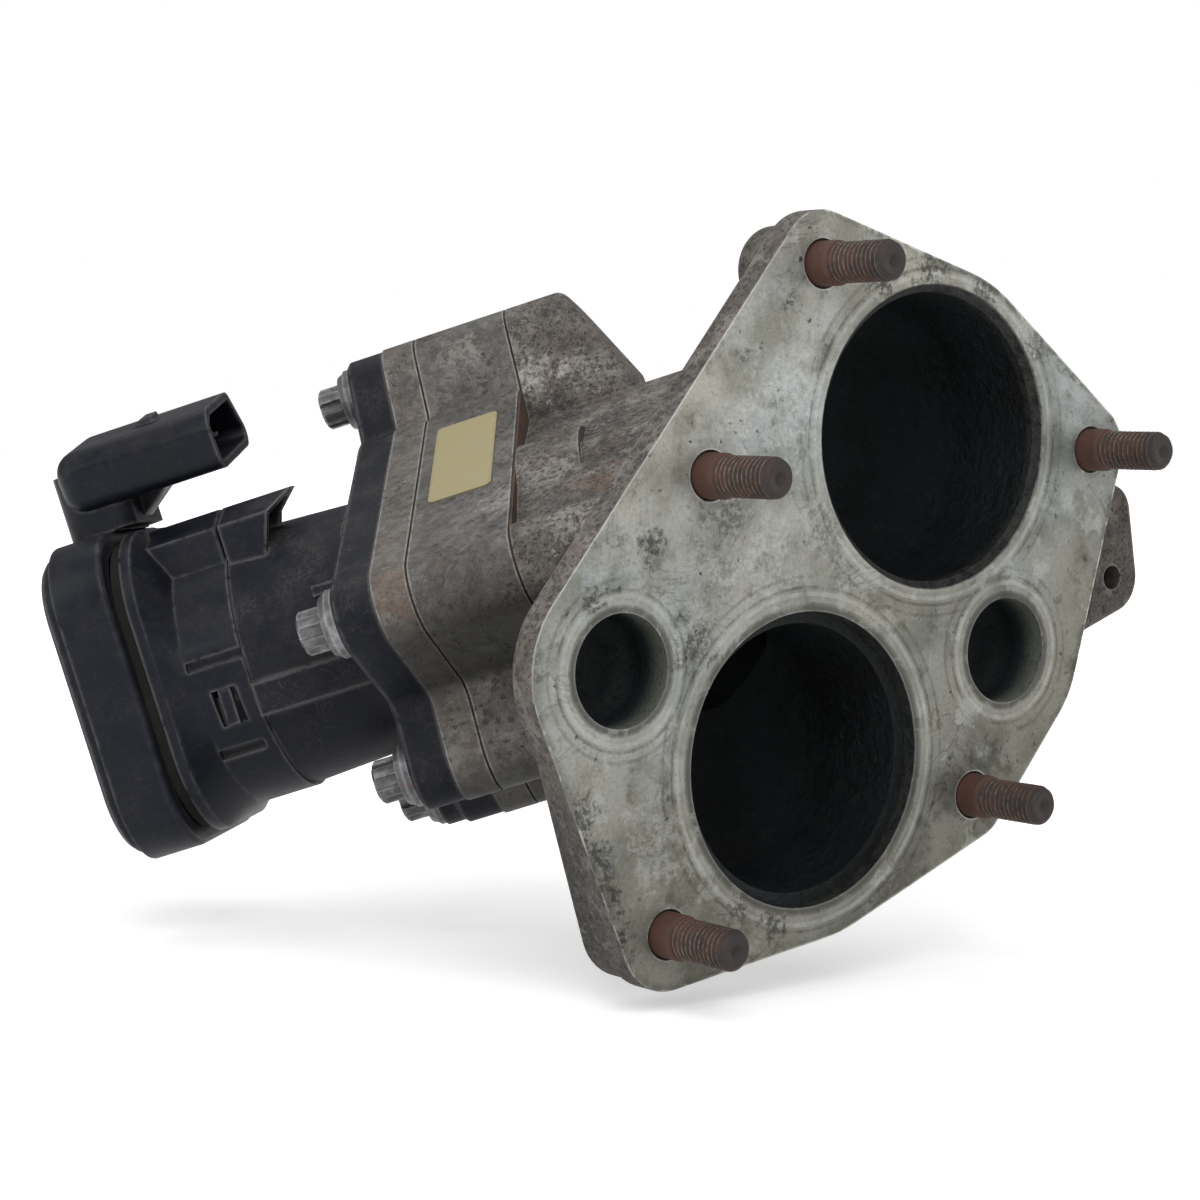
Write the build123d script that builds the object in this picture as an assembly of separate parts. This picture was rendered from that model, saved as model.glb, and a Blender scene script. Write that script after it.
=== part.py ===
from build123d import *
from math import sin, cos, radians, sqrt
import os

os.makedirs("parts", exist_ok=True)

# ------------------------------------------------------------------
# Row frame: X along the mounting flange, Z up, flange face at y = 0
# facing -Y, origin at the centre of the lower large port.
# Actuator frame: z along the valve axis pointing away from the flange,
# x level and towards the flange's left, y upwards.
# ------------------------------------------------------------------
HEADING = 135.0
DROOP = 18.6
AXIS_POINT = (-23.8, 96.7, 24.0)
level = cos(radians(DROOP))
axis_dir = (cos(radians(HEADING)) * level, sin(radians(HEADING)) * level, -sin(radians(DROOP)))
side_dir = (cos(radians(HEADING + 90)), sin(radians(HEADING + 90)), 0)
ACT = Plane(origin=AXIS_POINT, x_dir=side_dir, z_dir=axis_dir)

# mounting flange
FLANGE_T = 8.0
LAYER_T = 8.0
PORT_R = 29.0
LOWER_PORT = (0.0, 0.0)
UPPER_PORT = (32.9, 62.9)
LOWER_WALL_R = 36.0
UPPER_WALL_R = 34.3
LOWER_TUBE_R = 35.0
COOLANT_R = 10.8
COOLANT_L = (-45.7, 19.3)
COOLANT_RT = (53.9, 19.3)
COOLANT_DEPTH = 12.5
STUD_TOP = (2.0, 96.1)
STUD_LEFT = (-25.3, 55.3)
STUD_RIGHT = (77.9, 60.6)
STUD_LOW_RIGHT = (45.5, -10.0)
STUD_LOW_LEFT = (-33.8, -30.9)
STUDS = [STUD_TOP, STUD_LEFT, STUD_RIGHT, STUD_LOW_RIGHT, STUD_LOW_LEFT]
STUD_R = 4.0
STUD_COLLAR_R = 4.4
STUD_COLLAR_L = 4.5
STUD_OUT = 20.0
STUD_IN = 12.0
STUD_DIMPLE_R = 1.5
THREAD_GAP = 0.03
LIP_DEPTH = 3.5
LIP_R = 26.5
PORT_CHAMFER = 1.6
EAR_HOLE = (93.0, 33.0)
EAR_HOLE_R = 2.6
EAR_BACK = 20.0
LUG = (11.5, 96.0)
LUG_R = 9.0
LUG_END = 28.0
LOWER_END = 38.0
UPPER_END = 36.0
PORT_WALL_END = 6.0
LOWER_ROUND = 12.0
UPPER_ROUND = 14.0
ROUND_GROW = 2.0

# stack along the valve axis, z values in the actuator frame
CAST_Z = -30.0
GASKET_T = 0.5
PLATE_Z = -7.5
BLACK_T = 9.0
MAIN_R = 27.6
WALL_ANGLE = 66.3
WALL_SKIN = 0.1
BOLT_T = (-41.0, 51.0)
BOLT_M = (41.0, 3.0)
BOLT_B = (19.0, -31.5)
BOLT_H = (-14.0, -39.0)
U_ALONG = 36.0
U_CORNER_R = 8.0
U_DROP = 5.5
LOBE_R = 9.0
LOBE_T_FOOT = (-38.0, 33.0, 8.6)
LOBE_T_ROOT = (-22.0, 12.0, 8.0)
LOBE_B_ROOT = (11.0, -14.5, 12.6)
LOBE_H_ROOT = (-0.5, -18.0, 12.6)
NOTCH_R = 2.0
SWEEP_R = 5.0
RECESS = 3.0
CORE_END = -76.0
CORE_ROUND = 4.0
BOSS_T_HEAD = -41.0
BOSS_T_FOOT = -55.0
BOSS_ROUND = 3.0
LABEL_ALONG = 9.2
LABEL_W = 14.0
LABEL_L = 40.0
LABEL_T = 0.25
LABEL_MID = -18.0

# valve parts
CHAMBER_R = 20.0
CHAMBER_END = -52.0
SEAT_R = 14.0
SEAT_RING_R = 18.0
LEDGE_R = 17.2
SEAT_RING_T = 6.0
POCKET_R = 19.0
POCKET_WALL = 5.0
POCKET_END = -90.0
PASSAGE_R = 11.0
GAS_START = (6.0, 30.0, 14.0)
GAS_END = -41.0
STEM_R = 3.0
RUN_GAP = 0.05
DISC_R = 16.5
DISC_T = 3.0
BUSH_R = 5.5
BUSH_END = -37.0
SPRING_R = 13.0
WIRE_R = 1.1
SPRING_TURNS = 4.5

# bolts
M8_R = 4.0
CLEAR_R = 4.5
SLEEVE_R = 6.2
SLEEVE_GAP = 0.02
WASHER_R = 7.3
WASHER_T = 1.5
HEAD_FLANGE_T = 1.6
HEAD_R = 4.7
HEAD_H = 5.6
ENGAGE = 10.0
H_RAISE = 4.0

# actuator
HOUSING_R0 = 27.0
HOUSING_R1 = 28.4
HOUSING_WALL = 2.2
SEAM_Z = 34.6
BAND_R = 29.0
BAND_WALL = 3.0
BAND_END = 57.5
COVER_END = 69.5
LIP_END = 72.5
COVER_HALF_X = 32.0
COVER_LOW = -33.0
COVER_HIGH = 36.6
COVER_CORNER = 15.0
COVER_WALL = 2.4
GROOVE_T = 2.5
GUIDE_R = 6.5
GUIDE_FLAT = 5.0
GUIDE_END = 17.0
BEARING_R = 13.0
BEARING_T = 6.0
JOURNAL_R = 8.0
ROTOR_R = 12.0
MAGNET_R = 15.8
POLE_R = 16.3
YOKE_R = 21.0
REAR_BEARING_Z = 45.0
SCREW_R = 4.0
SCREW_TOP = 44.0
COLLAR_TOP = 15.0
SLACK = 0.3
LATCH_FRONT = 18.0
LATCH_BACK = 5.0
LATCH_FOOT = 20.0
LATCH_SHOULDER = 30.4
LATCH_TOP = 34.2
LATCH_LEAN = 9.0
LATCH_WALL = 1.7
LATCH_GAP = 0.25
PAD_W = 7.2
PAD_Y = -7.0
PAD_OUT = 1.0
SLOT_DEPTH = 1.4

# connector
SOCKET_MID = (0.0, 51.2)
SOCKET_ROLL = -11.5
SOCKET_MOUTH = 30.0
SOCKET_BACK = 66.5
SOCKET_ROUND = 5.0
SOCKET_WALL = 1.7
SOCKET_DEPTH = 19.0
NECK_W = 25.0
NECK_FRONT = 53.0
NECK_BACK = 68.4
NECK_ROUND = 4.0
NECK_LIFT = 0.3
PIN_W = 0.9
BOARD_LOW = 60.0
BOARD_TOP = 61.6
PIN_PITCH = 4.2

# motor
STATOR_LOW = 25.0
STATOR_HIGH = 43.0
STATOR_GAP = 0.28
POLE_W = 7.0
COIL_T = 2.4
COIL_LIFT = 1.2

# derived from the sizes above: the straight label wall is tangent to the
# chamber wall, and the corner circles at its two ends are tangent to it
WALL_X = cos(radians(WALL_ANGLE))
WALL_Y = sin(radians(WALL_ANGLE))
WALL_OFF = MAIN_R + WALL_SKIN
M_CORNER_R = WALL_OFF - (WALL_X * BOLT_M[0] + WALL_Y * BOLT_M[1])
U_CORNER = (
    WALL_X * (WALL_OFF - U_CORNER_R) - WALL_Y * U_ALONG,
    WALL_Y * (WALL_OFF - U_CORNER_R) + WALL_X * U_ALONG,
)

def hull(circles):
    """Face bounded by the tight outline around circles (x, y, r)."""
    return make_hull([Pos(x, y) * Edge.make_circle(r) for x, y, r in circles])


def slab(face, low, high):
    """Solid between two stations along the local z axis."""
    return extrude(Pos(0, 0, low) * face, high - low, dir=(0, 0, 1))


def rod(x, y, r, low, high):
    """Cylinder along the local z axis."""
    return Pos(x, y, low) * Cylinder(r, high - low, align=(Align.CENTER, Align.CENTER, Align.MIN))


def tube(x, y, outer, inner, low, high):
    """Ring along the local z axis."""
    return rod(x, y, outer, low, high) - rod(x, y, inner, low - 1, high + 1)


def taper(x, y, r_low, r_high, low, high):
    """Cone frustum along the local z axis."""
    cone = Cone(r_low, r_high, high - low, align=(Align.CENTER, Align.CENTER, Align.MIN))
    return Pos(x, y, low) * cone


def cross_slab(points, low, high):
    """Prism along the local x axis; points are (y, z)."""
    side = Plane(origin=(low, 0, 0), x_dir=(0, 1, 0), z_dir=(1, 0, 0))
    return extrude(side * Polygon(*points, align=None), high - low, dir=(1, 0, 0))


# a frame whose z axis is the row's +Y, x is the row's X, y is the row's -Z
DEEP = Plane(origin=(0, 0, 0), x_dir=(1, 0, 0), z_dir=(0, 1, 0))


def deep_hull(circles, low, high):
    """Prism from row depth low to high; circles are (X, Z, r)."""
    return DEEP * slab(hull([(x, -z, r) for x, z, r in circles]), low, high)


def deep_rod(at, r, low, high):
    """Cylinder along +Y at row (X, Z)."""
    return DEEP * rod(at[0], -at[1], r, low, high)


def deep_taper(at, r_low, r_high, low, high):
    """Cone frustum along +Y at row (X, Z)."""
    return DEEP * taper(at[0], -at[1], r_low, r_high, low, high)


def act(shape):
    """Place a shape drawn in the actuator frame into the row frame."""
    return ACT.location * shape


def row_of(x, y, z):
    """Row coordinates of a point given in the actuator frame."""
    return ACT.from_local_coords(Vector(x, y, z))


def corners_of(face):
    """Vertices where two edges of a face's outline meet at an angle."""
    found = []
    edges = face.outer_wire().edges()
    for corner in face.outer_wire().vertices():
        near = [e for e in edges if min((e @ 0 - corner.center()).length, (e @ 1 - corner.center()).length) < 1e-4]
        ways = []
        for edge in near:
            at_start = (edge @ 0 - corner.center()).length < 1e-4
            ways.append(edge % 0 if at_start else edge % 1)
        if len(ways) == 2 and ways[0].cross(ways[1]).length > 0.05:
            found.append(corner)
    return found


def bar_between(start, end, r):
    """Round bar between two row points."""
    a = Vector(*start)
    b = Vector(*end)
    along = Plane(origin=a, z_dir=(b - a))
    return along.location * rod(0, 0, r, 0, (b - a).length)


# ------------------------------------------------------------------
# casting
# ------------------------------------------------------------------
def plate_face(inset=0.0):
    """Outline shared by the casting top, spacer, plate and black flange."""
    main = hull([
        (0, 0, MAIN_R - inset),
        (BOLT_M[0], BOLT_M[1], M_CORNER_R - inset),
        (U_CORNER[0], U_CORNER[1], U_CORNER_R - inset),
    ])
    lobe_b = hull([(BOLT_B[0], BOLT_B[1], LOBE_R - inset), (LOBE_B_ROOT[0], LOBE_B_ROOT[1], LOBE_B_ROOT[2] - inset)])
    lobe_h = hull([(BOLT_H[0], BOLT_H[1], LOBE_R - inset), (LOBE_H_ROOT[0], LOBE_H_ROOT[1], LOBE_H_ROOT[2] - inset)])
    outline = (main + lobe_t_face(inset) + lobe_b + lobe_h).faces()[0]
    sweeps = [v for v in corners_of(outline) if v.Y < 0]
    outline = fillet(sweeps, SWEEP_R).faces()[0]
    notches = [v for v in corners_of(outline) if v.Y > 0]
    return fillet(notches, NOTCH_R).faces()[0]


def lobe_t_face(inset=0.0):
    """Outline of the upper bolt lobe, which stands apart from the label wall."""
    return hull([
        (BOLT_T[0], BOLT_T[1], LOBE_R - inset),
        (LOBE_T_FOOT[0], LOBE_T_FOOT[1], LOBE_T_FOOT[2] - inset),
        (LOBE_T_ROOT[0], LOBE_T_ROOT[1], LOBE_T_ROOT[2] - inset),
    ])


def flange_body():
    """Mounting flange plate with its second layer."""
    front = deep_hull([
        (STUD_TOP[0], STUD_TOP[1], 10.4),
        (UPPER_PORT[0], UPPER_PORT[1], UPPER_WALL_R),
        (STUD_RIGHT[0], STUD_RIGHT[1], 9.5),
        (COOLANT_RT[0], COOLANT_RT[1], 21.5),
        (STUD_LOW_RIGHT[0], STUD_LOW_RIGHT[1], 9.3),
        (0, 0, LOWER_WALL_R),
        (STUD_LOW_LEFT[0], STUD_LOW_LEFT[1], 10.8),
        (COOLANT_L[0], COOLANT_L[1], 20.5),
    ], 0, FLANGE_T)
    back_edges = front.faces().sort_by(Axis.Y)[-1].edges()
    front = fillet(back_edges, 3.0)
    second = deep_hull([
        (COOLANT_L[0], COOLANT_L[1], COOLANT_R + 3.2),
        (STUD_LOW_LEFT[0], STUD_LOW_LEFT[1], 10.0),
        (0, 0, LOWER_WALL_R - 1),
        (STUD_LOW_RIGHT[0], STUD_LOW_RIGHT[1], 9.0),
        (COOLANT_RT[0], COOLANT_RT[1], 15.0),
        (STUD_RIGHT[0] - 3, STUD_RIGHT[1], 8.0),
        (UPPER_PORT[0], UPPER_PORT[1], UPPER_WALL_R - 0.8),
    ], FLANGE_T - 3, FLANGE_T + LAYER_T)
    rear = second.faces().sort_by(Axis.Y)[-1].edges()
    second = fillet(rear, 3.0)
    return front + second


def port_tube(at, r, end, round_r):
    """Closed tube behind a large port with a rounded end."""
    body = deep_rod(at, r, FLANGE_T - 4, end)
    return fillet(body.faces().sort_by(Axis.Y)[-1].edges(), round_r)


def valve_core():
    """Block that carries the valve chamber between ports and spacer."""
    block = slab(hull([
        (0, 0, MAIN_R - RECESS),
        (BOLT_M[0] - 8, BOLT_M[1] + 2, M_CORNER_R - RECESS + 1),
        (U_CORNER[0], U_CORNER[1] - U_DROP, U_CORNER_R - RECESS / 2),
    ]), CORE_END, CAST_Z)
    block = fillet(block.faces().sort_by(Axis.Z)[0].edges(), CORE_ROUND)
    full = slab(hull([
        (0, 0, MAIN_R),
        (BOLT_B[0], BOLT_B[1], LOBE_R),
        (BOLT_H[0], BOLT_H[1], LOBE_R),
    ]), -44.0, CAST_Z)
    shroud = rod(0, 0, POCKET_R + POCKET_WALL, POCKET_END - POCKET_WALL, CAST_Z)
    ridge = rod(BOLT_M[0], BOLT_M[1], M_CORNER_R, -135.0, CAST_Z)
    web = slab(hull([
        (BOLT_M[0] - 5, BOLT_M[1] + 0.5, M_CORNER_R - RECESS + 1),
        (8, 15, 9),
        (9, 0, 13),
    ]), -135.0, CAST_Z)
    return act(block + full + boss_t() + shroud + ridge + web)


def boss_t():
    """Upper bolt boss with a leaning, rounded end."""
    boss = slab(lobe_t_face(), BOSS_T_FOOT, CAST_Z)
    lean = cross_slab([
        (0, CAST_Z + 1), (0, BOSS_T_FOOT), (36, BOSS_T_FOOT), (BOLT_T[1] + LOBE_R + 5, BOSS_T_HEAD), (90, CAST_Z + 1),
    ], -90, 20)
    boss = boss & lean
    end = boss.faces().filter_by(GeomType.PLANE).sort_by(Axis.Z)[:2]
    edges = [e for face in end for e in face.edges()]
    return fillet(list(dict.fromkeys(edges)), BOSS_ROUND)


def ear():
    """Side ear with a threaded hole at the flange's right edge."""
    plate = deep_hull([
        (EAR_HOLE[0], EAR_HOLE[1], 7.5),
        (92.0, 47.0, 6.0),
        (76.0, 52.0, 7.0),
        (70.0, 26.0, 9.0),
    ], 7.0, EAR_BACK)
    return plate


def casting():
    """Main casting with ports, valve chamber, bosses and holes."""
    body = flange_body()
    body += port_tube(LOWER_PORT, LOWER_TUBE_R, LOWER_END + PORT_WALL_END, LOWER_ROUND + ROUND_GROW)
    body += port_tube(UPPER_PORT, UPPER_WALL_R, UPPER_END + PORT_WALL_END, UPPER_ROUND + ROUND_GROW)
    core = valve_core()
    keep = Pos(0, FLANGE_T - 2, 0) * Box(600, 300, 600, align=(Align.CENTER, Align.MIN, Align.CENTER))
    body += core & keep
    below = act(Pos(0, 0, CAST_Z) * Box(300, 300, 300, align=(Align.CENTER, Align.CENTER, Align.MAX)))
    body += bar_between(GAS_START, row_of(0, 0, GAS_END), PASSAGE_R + POCKET_WALL) & keep & below
    lug = deep_rod(LUG, LUG_R, 5.0, LUG_END)
    lug = fillet(lug.faces().sort_by(Axis.Y)[-1].edges(), 3.0)
    lug_web = deep_hull([(LUG[0], LUG[1], 6.0), (UPPER_PORT[0], UPPER_PORT[1], 12.0)], 6.0, 26.0)
    body += lug + lug_web
    body += ear()
    # large ports
    lower = deep_rod(LOWER_PORT, PORT_R, -1, LIP_DEPTH)
    lower_bore = deep_rod(LOWER_PORT, LIP_R, 0, LOWER_END)
    lower_bore = fillet(lower_bore.faces().sort_by(Axis.Y)[-1].edges(), LOWER_ROUND)
    upper = deep_rod(UPPER_PORT, PORT_R, -1, UPPER_END)
    upper = fillet(upper.faces().sort_by(Axis.Y)[-1].edges(), UPPER_ROUND)
    upper_mouth = deep_taper(UPPER_PORT, PORT_R + PORT_CHAMFER, PORT_R, 0, PORT_CHAMFER)
    body -= lower + lower_bore
    body -= upper
    body -= upper_mouth
    # coolant ports
    for at in (COOLANT_L, COOLANT_RT):
        port = deep_rod(at, COOLANT_R, -1, COOLANT_DEPTH)
        body -= fillet(port.faces().sort_by(Axis.Y)[-1].edges(), 4.0)
    # valve chamber, seat bore and pocket
    body -= act(rod(0, 0, CHAMBER_R, CHAMBER_END, CAST_Z + 1))
    body -= act(rod(0, 0, SEAT_RING_R, CHAMBER_END - SEAT_RING_T, CHAMBER_END + 1))
    body -= act(rod(0, 0, LEDGE_R, CHAMBER_END - SEAT_RING_T - 3, CHAMBER_END))
    body -= act(rod(0, 0, POCKET_R, POCKET_END, CHAMBER_END - SEAT_RING_T - 1.5))
    body -= bar_between(GAS_START, row_of(0, 0, GAS_END), PASSAGE_R)
    # bolt and stud holes
    for x, y in (BOLT_T, BOLT_M, BOLT_B, BOLT_H):
        body -= act(rod(x, y, M8_R + THREAD_GAP, CAST_Z - ENGAGE - 1.0, CAST_Z + 1))
    for at in STUDS:
        body -= deep_rod(at, STUD_R + THREAD_GAP, -1, STUD_IN + 0.5)
        body -= deep_taper(at, STUD_COLLAR_R + 0.6, STUD_R, -0.1, 1.2)
    body -= deep_rod(EAR_HOLE, EAR_HOLE_R, 6, 30)
    return body


def stud(at):
    """Threaded stud with a plain collar and chamfered dimpled end."""
    shank = deep_rod(at, STUD_R, -STUD_OUT + 1.2, STUD_IN)
    collar = deep_rod(at, STUD_COLLAR_R, -STUD_COLLAR_L, 0)
    tip = deep_taper(at, STUD_R - 1.2, STUD_R, -STUD_OUT, -STUD_OUT + 1.2)
    dimple = deep_taper(at, STUD_DIMPLE_R, 0.2, -STUD_OUT, -STUD_OUT + 1.0)
    return shank + collar + tip - dimple


# ------------------------------------------------------------------
# stack of plates
# ------------------------------------------------------------------
def drill(shape, r, low, high):
    """Cut the four bolt holes through a plate."""
    for x, y in (BOLT_T, BOLT_M, BOLT_B, BOLT_H):
        shape -= rod(x, y, r, low - 1, high + 1)
    return shape


def gasket(low, bore_r):
    """Flat sheet gasket following the plate outline."""
    sheet = slab(plate_face(0.6), low, low + GASKET_T)
    sheet -= rod(0, 0, bore_r, low - 1, low + 1)
    return drill(sheet, CLEAR_R, low, low + GASKET_T)


def spacer():
    """Thick spacer with a spring pocket, guide boss and weight-saving pockets."""
    low = CAST_Z + GASKET_T
    high = PLATE_Z - GASKET_T
    floor = low + 6.5
    body = slab(plate_face(), low, high)
    body -= rod(0, 0, 20.0, floor, high + 1)
    body += tube(0, 0, 9.5, BUSH_R, low, floor + 7.0)
    body -= rod(0, 0, BUSH_R, low - 1, high)
    body -= slab(hull([(-21, 25, 4), (-28, 34, 3)]), floor, high + 1)
    return drill(body, CLEAR_R, low, high)


def mid_plate():
    """Intermediate plate between spacer and actuator."""
    body = slab(plate_face(), PLATE_Z, 0)
    body -= rod(0, 0, 19.0, PLATE_Z - 1, 1)
    body -= tube(0, 0, 24.5, 22.5, -1.6, 1)
    return drill(body, CLEAR_R, PLATE_Z, 0)


def seal_ring():
    """Round seal between the intermediate plate and the actuator."""
    return tube(0, 0, 24.4, 22.6, -1.6, 0)


def label():
    """Blank label plate on the spacer's side wall."""
    out = Vector(WALL_X, WALL_Y, 0)
    centre = out * WALL_OFF + Vector(-WALL_Y, WALL_X, 0) * LABEL_ALONG
    wall = Plane(origin=(centre.X, centre.Y, LABEL_MID), x_dir=(0, 0, 1), z_dir=out)
    return wall.location * extrude(RectangleRounded(LABEL_W, LABEL_L, 1.5), LABEL_T)


# ------------------------------------------------------------------
# valve train
# ------------------------------------------------------------------
def seat_ring():
    """Pressed-in seat with a tapered sealing face on the far side."""
    low = CHAMBER_END - SEAT_RING_T
    body = rod(0, 0, SEAT_RING_R - 0.01, low, CHAMBER_END)
    body -= rod(0, 0, SEAT_R, low - 1, CHAMBER_END + 1)
    return body


def guide_bush():
    """Bronze bush that guides the stem."""
    low = BUSH_END
    high = CAST_Z + GASKET_T + 12.0
    body = rod(0, 0, BUSH_R - 0.01, low, high)
    return body - rod(0, 0, STEM_R + RUN_GAP, low - 1, high + 1)


def stem():
    """Valve stem."""
    top = 6.0
    low = CHAMBER_END - SEAT_RING_T - DISC_T - 2.0
    body = rod(0, 0, STEM_R, low, top)
    return body


def disc():
    """Dished valve disc that closes from the port side."""
    seat = CHAMBER_END - SEAT_RING_T
    body = rod(0, 0, DISC_R, seat - DISC_T, seat)
    body += taper(0, 0, 5.0, 9.0, seat - DISC_T - 2.0, seat - DISC_T)
    body += taper(0, 0, 8.0, 4.5, seat, seat + 3.5)
    return body - rod(0, 0, STEM_R, seat - 10, seat + 10)


def retainer():
    """Dished spring retainer on the stem."""
    body = rod(0, 0, 16.0, -4.0, -2.4)
    body += tube(0, 0, 16.0, 15.0, -6.0, -2.4)
    body += rod(0, 0, 6.0, -6.0, -2.0)
    return body - rod(0, 0, STEM_R, -10, 0)


def coil_spring():
    """Return spring between spacer floor and retainer."""
    low = CAST_Z + GASKET_T + 6.5 + WIRE_R
    high = -4.0 - WIRE_R
    pitch = (high - low) / SPRING_TURNS
    path = Helix(pitch, high - low, SPRING_R)
    start = path @ 0
    across = Plane(origin=start, z_dir=path % 0)
    wire = sweep(across * Circle(WIRE_R), path)
    return Pos(0, 0, low) * wire


def lead_screw():
    """Screw that pushes the stem, with a flatted collar against turning."""
    collar = rod(0, 0, GUIDE_R, -2.0, COLLAR_TOP)
    flats = Pos(0, 0, -5) * Box(40, 2 * GUIDE_FLAT, 40, align=(Align.CENTER, Align.CENTER, Align.MIN))
    body = (collar & flats) + rod(0, 0, SCREW_R, 0, SCREW_TOP)
    body = body + taper(0, 0, SCREW_R, SCREW_R - 1, SCREW_TOP, SCREW_TOP + 1)
    return body - rod(0, 0, STEM_R, -3, 6.0)


def rotor_nut():
    """Nut sleeve turned by the rotor, with bearing journals."""
    body = rod(0, 0, JOURNAL_R, GUIDE_END + SLACK, REAR_BEARING_Z + BEARING_T)
    low = GUIDE_END + BEARING_T + SLACK
    body += rod(0, 0, ROTOR_R, low, REAR_BEARING_Z - SLACK)
    return body - rod(0, 0, SCREW_R + RUN_GAP, 0, REAR_BEARING_Z + 3)


def rotor_magnets():
    """Ring magnet on the rotor with shallow pole grooves."""
    low = GUIDE_END + BEARING_T + 2
    high = REAR_BEARING_Z - 2
    body = tube(0, 0, MAGNET_R, ROTOR_R, low, high)
    for i in range(8):
        body -= Rot(0, 0, i * 45) * rod(MAGNET_R + 0.5, 0, 1.0, low - 1, high + 1)
    return body


def sensor_magnet():
    """Small magnet at the rotor's end for the position sensor."""
    z = REAR_BEARING_Z + BEARING_T
    return rod(0, 0, 6.0, z, z + 3.0)


# ------------------------------------------------------------------
# actuator
# ------------------------------------------------------------------
def guide_cut(low, high, gap):
    """Bore with two flats that keeps the screw from turning."""
    hole = rod(0, 0, GUIDE_R + gap, low, high)
    flats = Pos(0, 0, low - 1) * Box(40, 2 * (GUIDE_FLAT + gap), 60, align=(Align.CENTER, Align.CENTER, Align.MIN))
    return hole & flats


def motor_housing():
    """Black flange with the drafted motor cylinder."""
    plate = slab(plate_face(0.4), 0, BLACK_T)
    edges = plate.faces().sort_by(Axis.Z)[-1].edges()
    plate = chamfer(edges, 0.8)
    body = plate + taper(0, 0, HOUSING_R0, HOUSING_R1, BLACK_T - 1, SEAM_Z)
    body += rod(BOLT_H[0], BOLT_H[1], LOBE_R - 1.2, BLACK_T - 1, BLACK_T + H_RAISE)
    body += latch_block()
    # flat strip on the near side
    strip = Pos(HOUSING_R1 + PAD_OUT, PAD_Y, BLACK_T - 1)
    body += strip * Box(6, PAD_W, SEAM_Z - BLACK_T + 1, align=(Align.MAX, Align.CENTER, Align.MIN))
    # gussets between plate and cylinder
    for a in (20, 160, 200):
        rib = Rot(0, 0, a) * (Pos(24, 0, 8) * Box(8, 2.4, 8, align=(Align.MIN, Align.CENTER, Align.MIN)))
        body += rib
    body -= taper(0, 0, HOUSING_R0 - HOUSING_WALL, HOUSING_R1 - HOUSING_WALL, BLACK_T, SEAM_Z + 0.01)
    hub = rod(0, 0, BEARING_R + 2.5, BLACK_T - 1, GUIDE_END + BEARING_T)
    body += hub
    body -= rod(0, 0, BEARING_R, GUIDE_END, GUIDE_END + BEARING_T + 1)
    body -= guide_cut(-1, GUIDE_END + 1, RUN_GAP)
    for x, y in (BOLT_T, BOLT_M, BOLT_B, BOLT_H):
        body -= rod(x, y, SLEEVE_R + SLEEVE_GAP, -1, BLACK_T + H_RAISE + 1)
    return body


def rail_section(inset):
    """Section of the latch rail: upright near side with a leaning top."""
    front = LATCH_FRONT - inset
    top = LATCH_TOP - inset
    return Polygon(
        (LATCH_BACK + inset, LATCH_FOOT + inset), (front, LATCH_FOOT + inset), (front, LATCH_SHOULDER - inset / 2),
        (LATCH_LEAN, top), (LATCH_BACK + inset, top), align=None,
    )


def latch_block():
    """Latch box on the housing, open towards the mounting flange."""
    box = slab(rail_section(0), 17.0, SEAM_Z - LATCH_GAP)
    box -= slab(rail_section(LATCH_WALL), 16.0, SEAM_Z - 7.0)
    lean = cross_slab([(15, 25.8), (22, 25.8), (30, 23.0), (34.4, 18.4), (40, 18.4), (40, 40), (15, 40)], 0, 30)
    return box & lean


def rail():
    """Rail on the band that carries the latch box on to the end flange."""
    body = slab(rail_section(0), SEAM_Z + LATCH_GAP, 53.0)
    return fillet(body.faces().sort_by(Axis.Z)[0].edges(), 0.6)


def sleeve(x, y, extra):
    """Metal limiter inside the plastic flange."""
    return tube(x, y, SLEEVE_R, CLEAR_R, 0, BLACK_T + extra)


def bolt(x, y, extra):
    """Flange bolt with a six-lobe head."""
    seat = BLACK_T + extra + WASHER_T
    body = rod(x, y, M8_R, CAST_Z - ENGAGE, seat)
    body += taper(x, y, WASHER_R - 0.3, WASHER_R - 1.0, seat, seat + HEAD_FLANGE_T)
    head = rod(x, y, HEAD_R, seat, seat + HEAD_FLANGE_T + HEAD_H)
    top_edges = head.faces().sort_by(Axis.Z)[-1].edges()
    head = chamfer(top_edges, 0.6)
    for i in range(6):
        spot = Pos(x, y, 0) * Rot(0, 0, i * 60) * rod(HEAD_R + 0.75, 0, 1.6, seat + HEAD_FLANGE_T, seat + 12)
        head -= spot
    return body + head


def washer(x, y, extra):
    """Plain washer under a bolt head."""
    return tube(x, y, WASHER_R, CLEAR_R - 0.2, BLACK_T + extra, BLACK_T + extra + WASHER_T)


def cover_face(inset, corner):
    """Rounded-square outline of the end cover."""
    wide = 2 * (COVER_HALF_X - inset)
    high = COVER_HIGH - COVER_LOW - 2 * inset
    mid = (COVER_HIGH + COVER_LOW) / 2
    return Pos(0, mid) * RectangleRounded(wide, high, corner)


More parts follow.
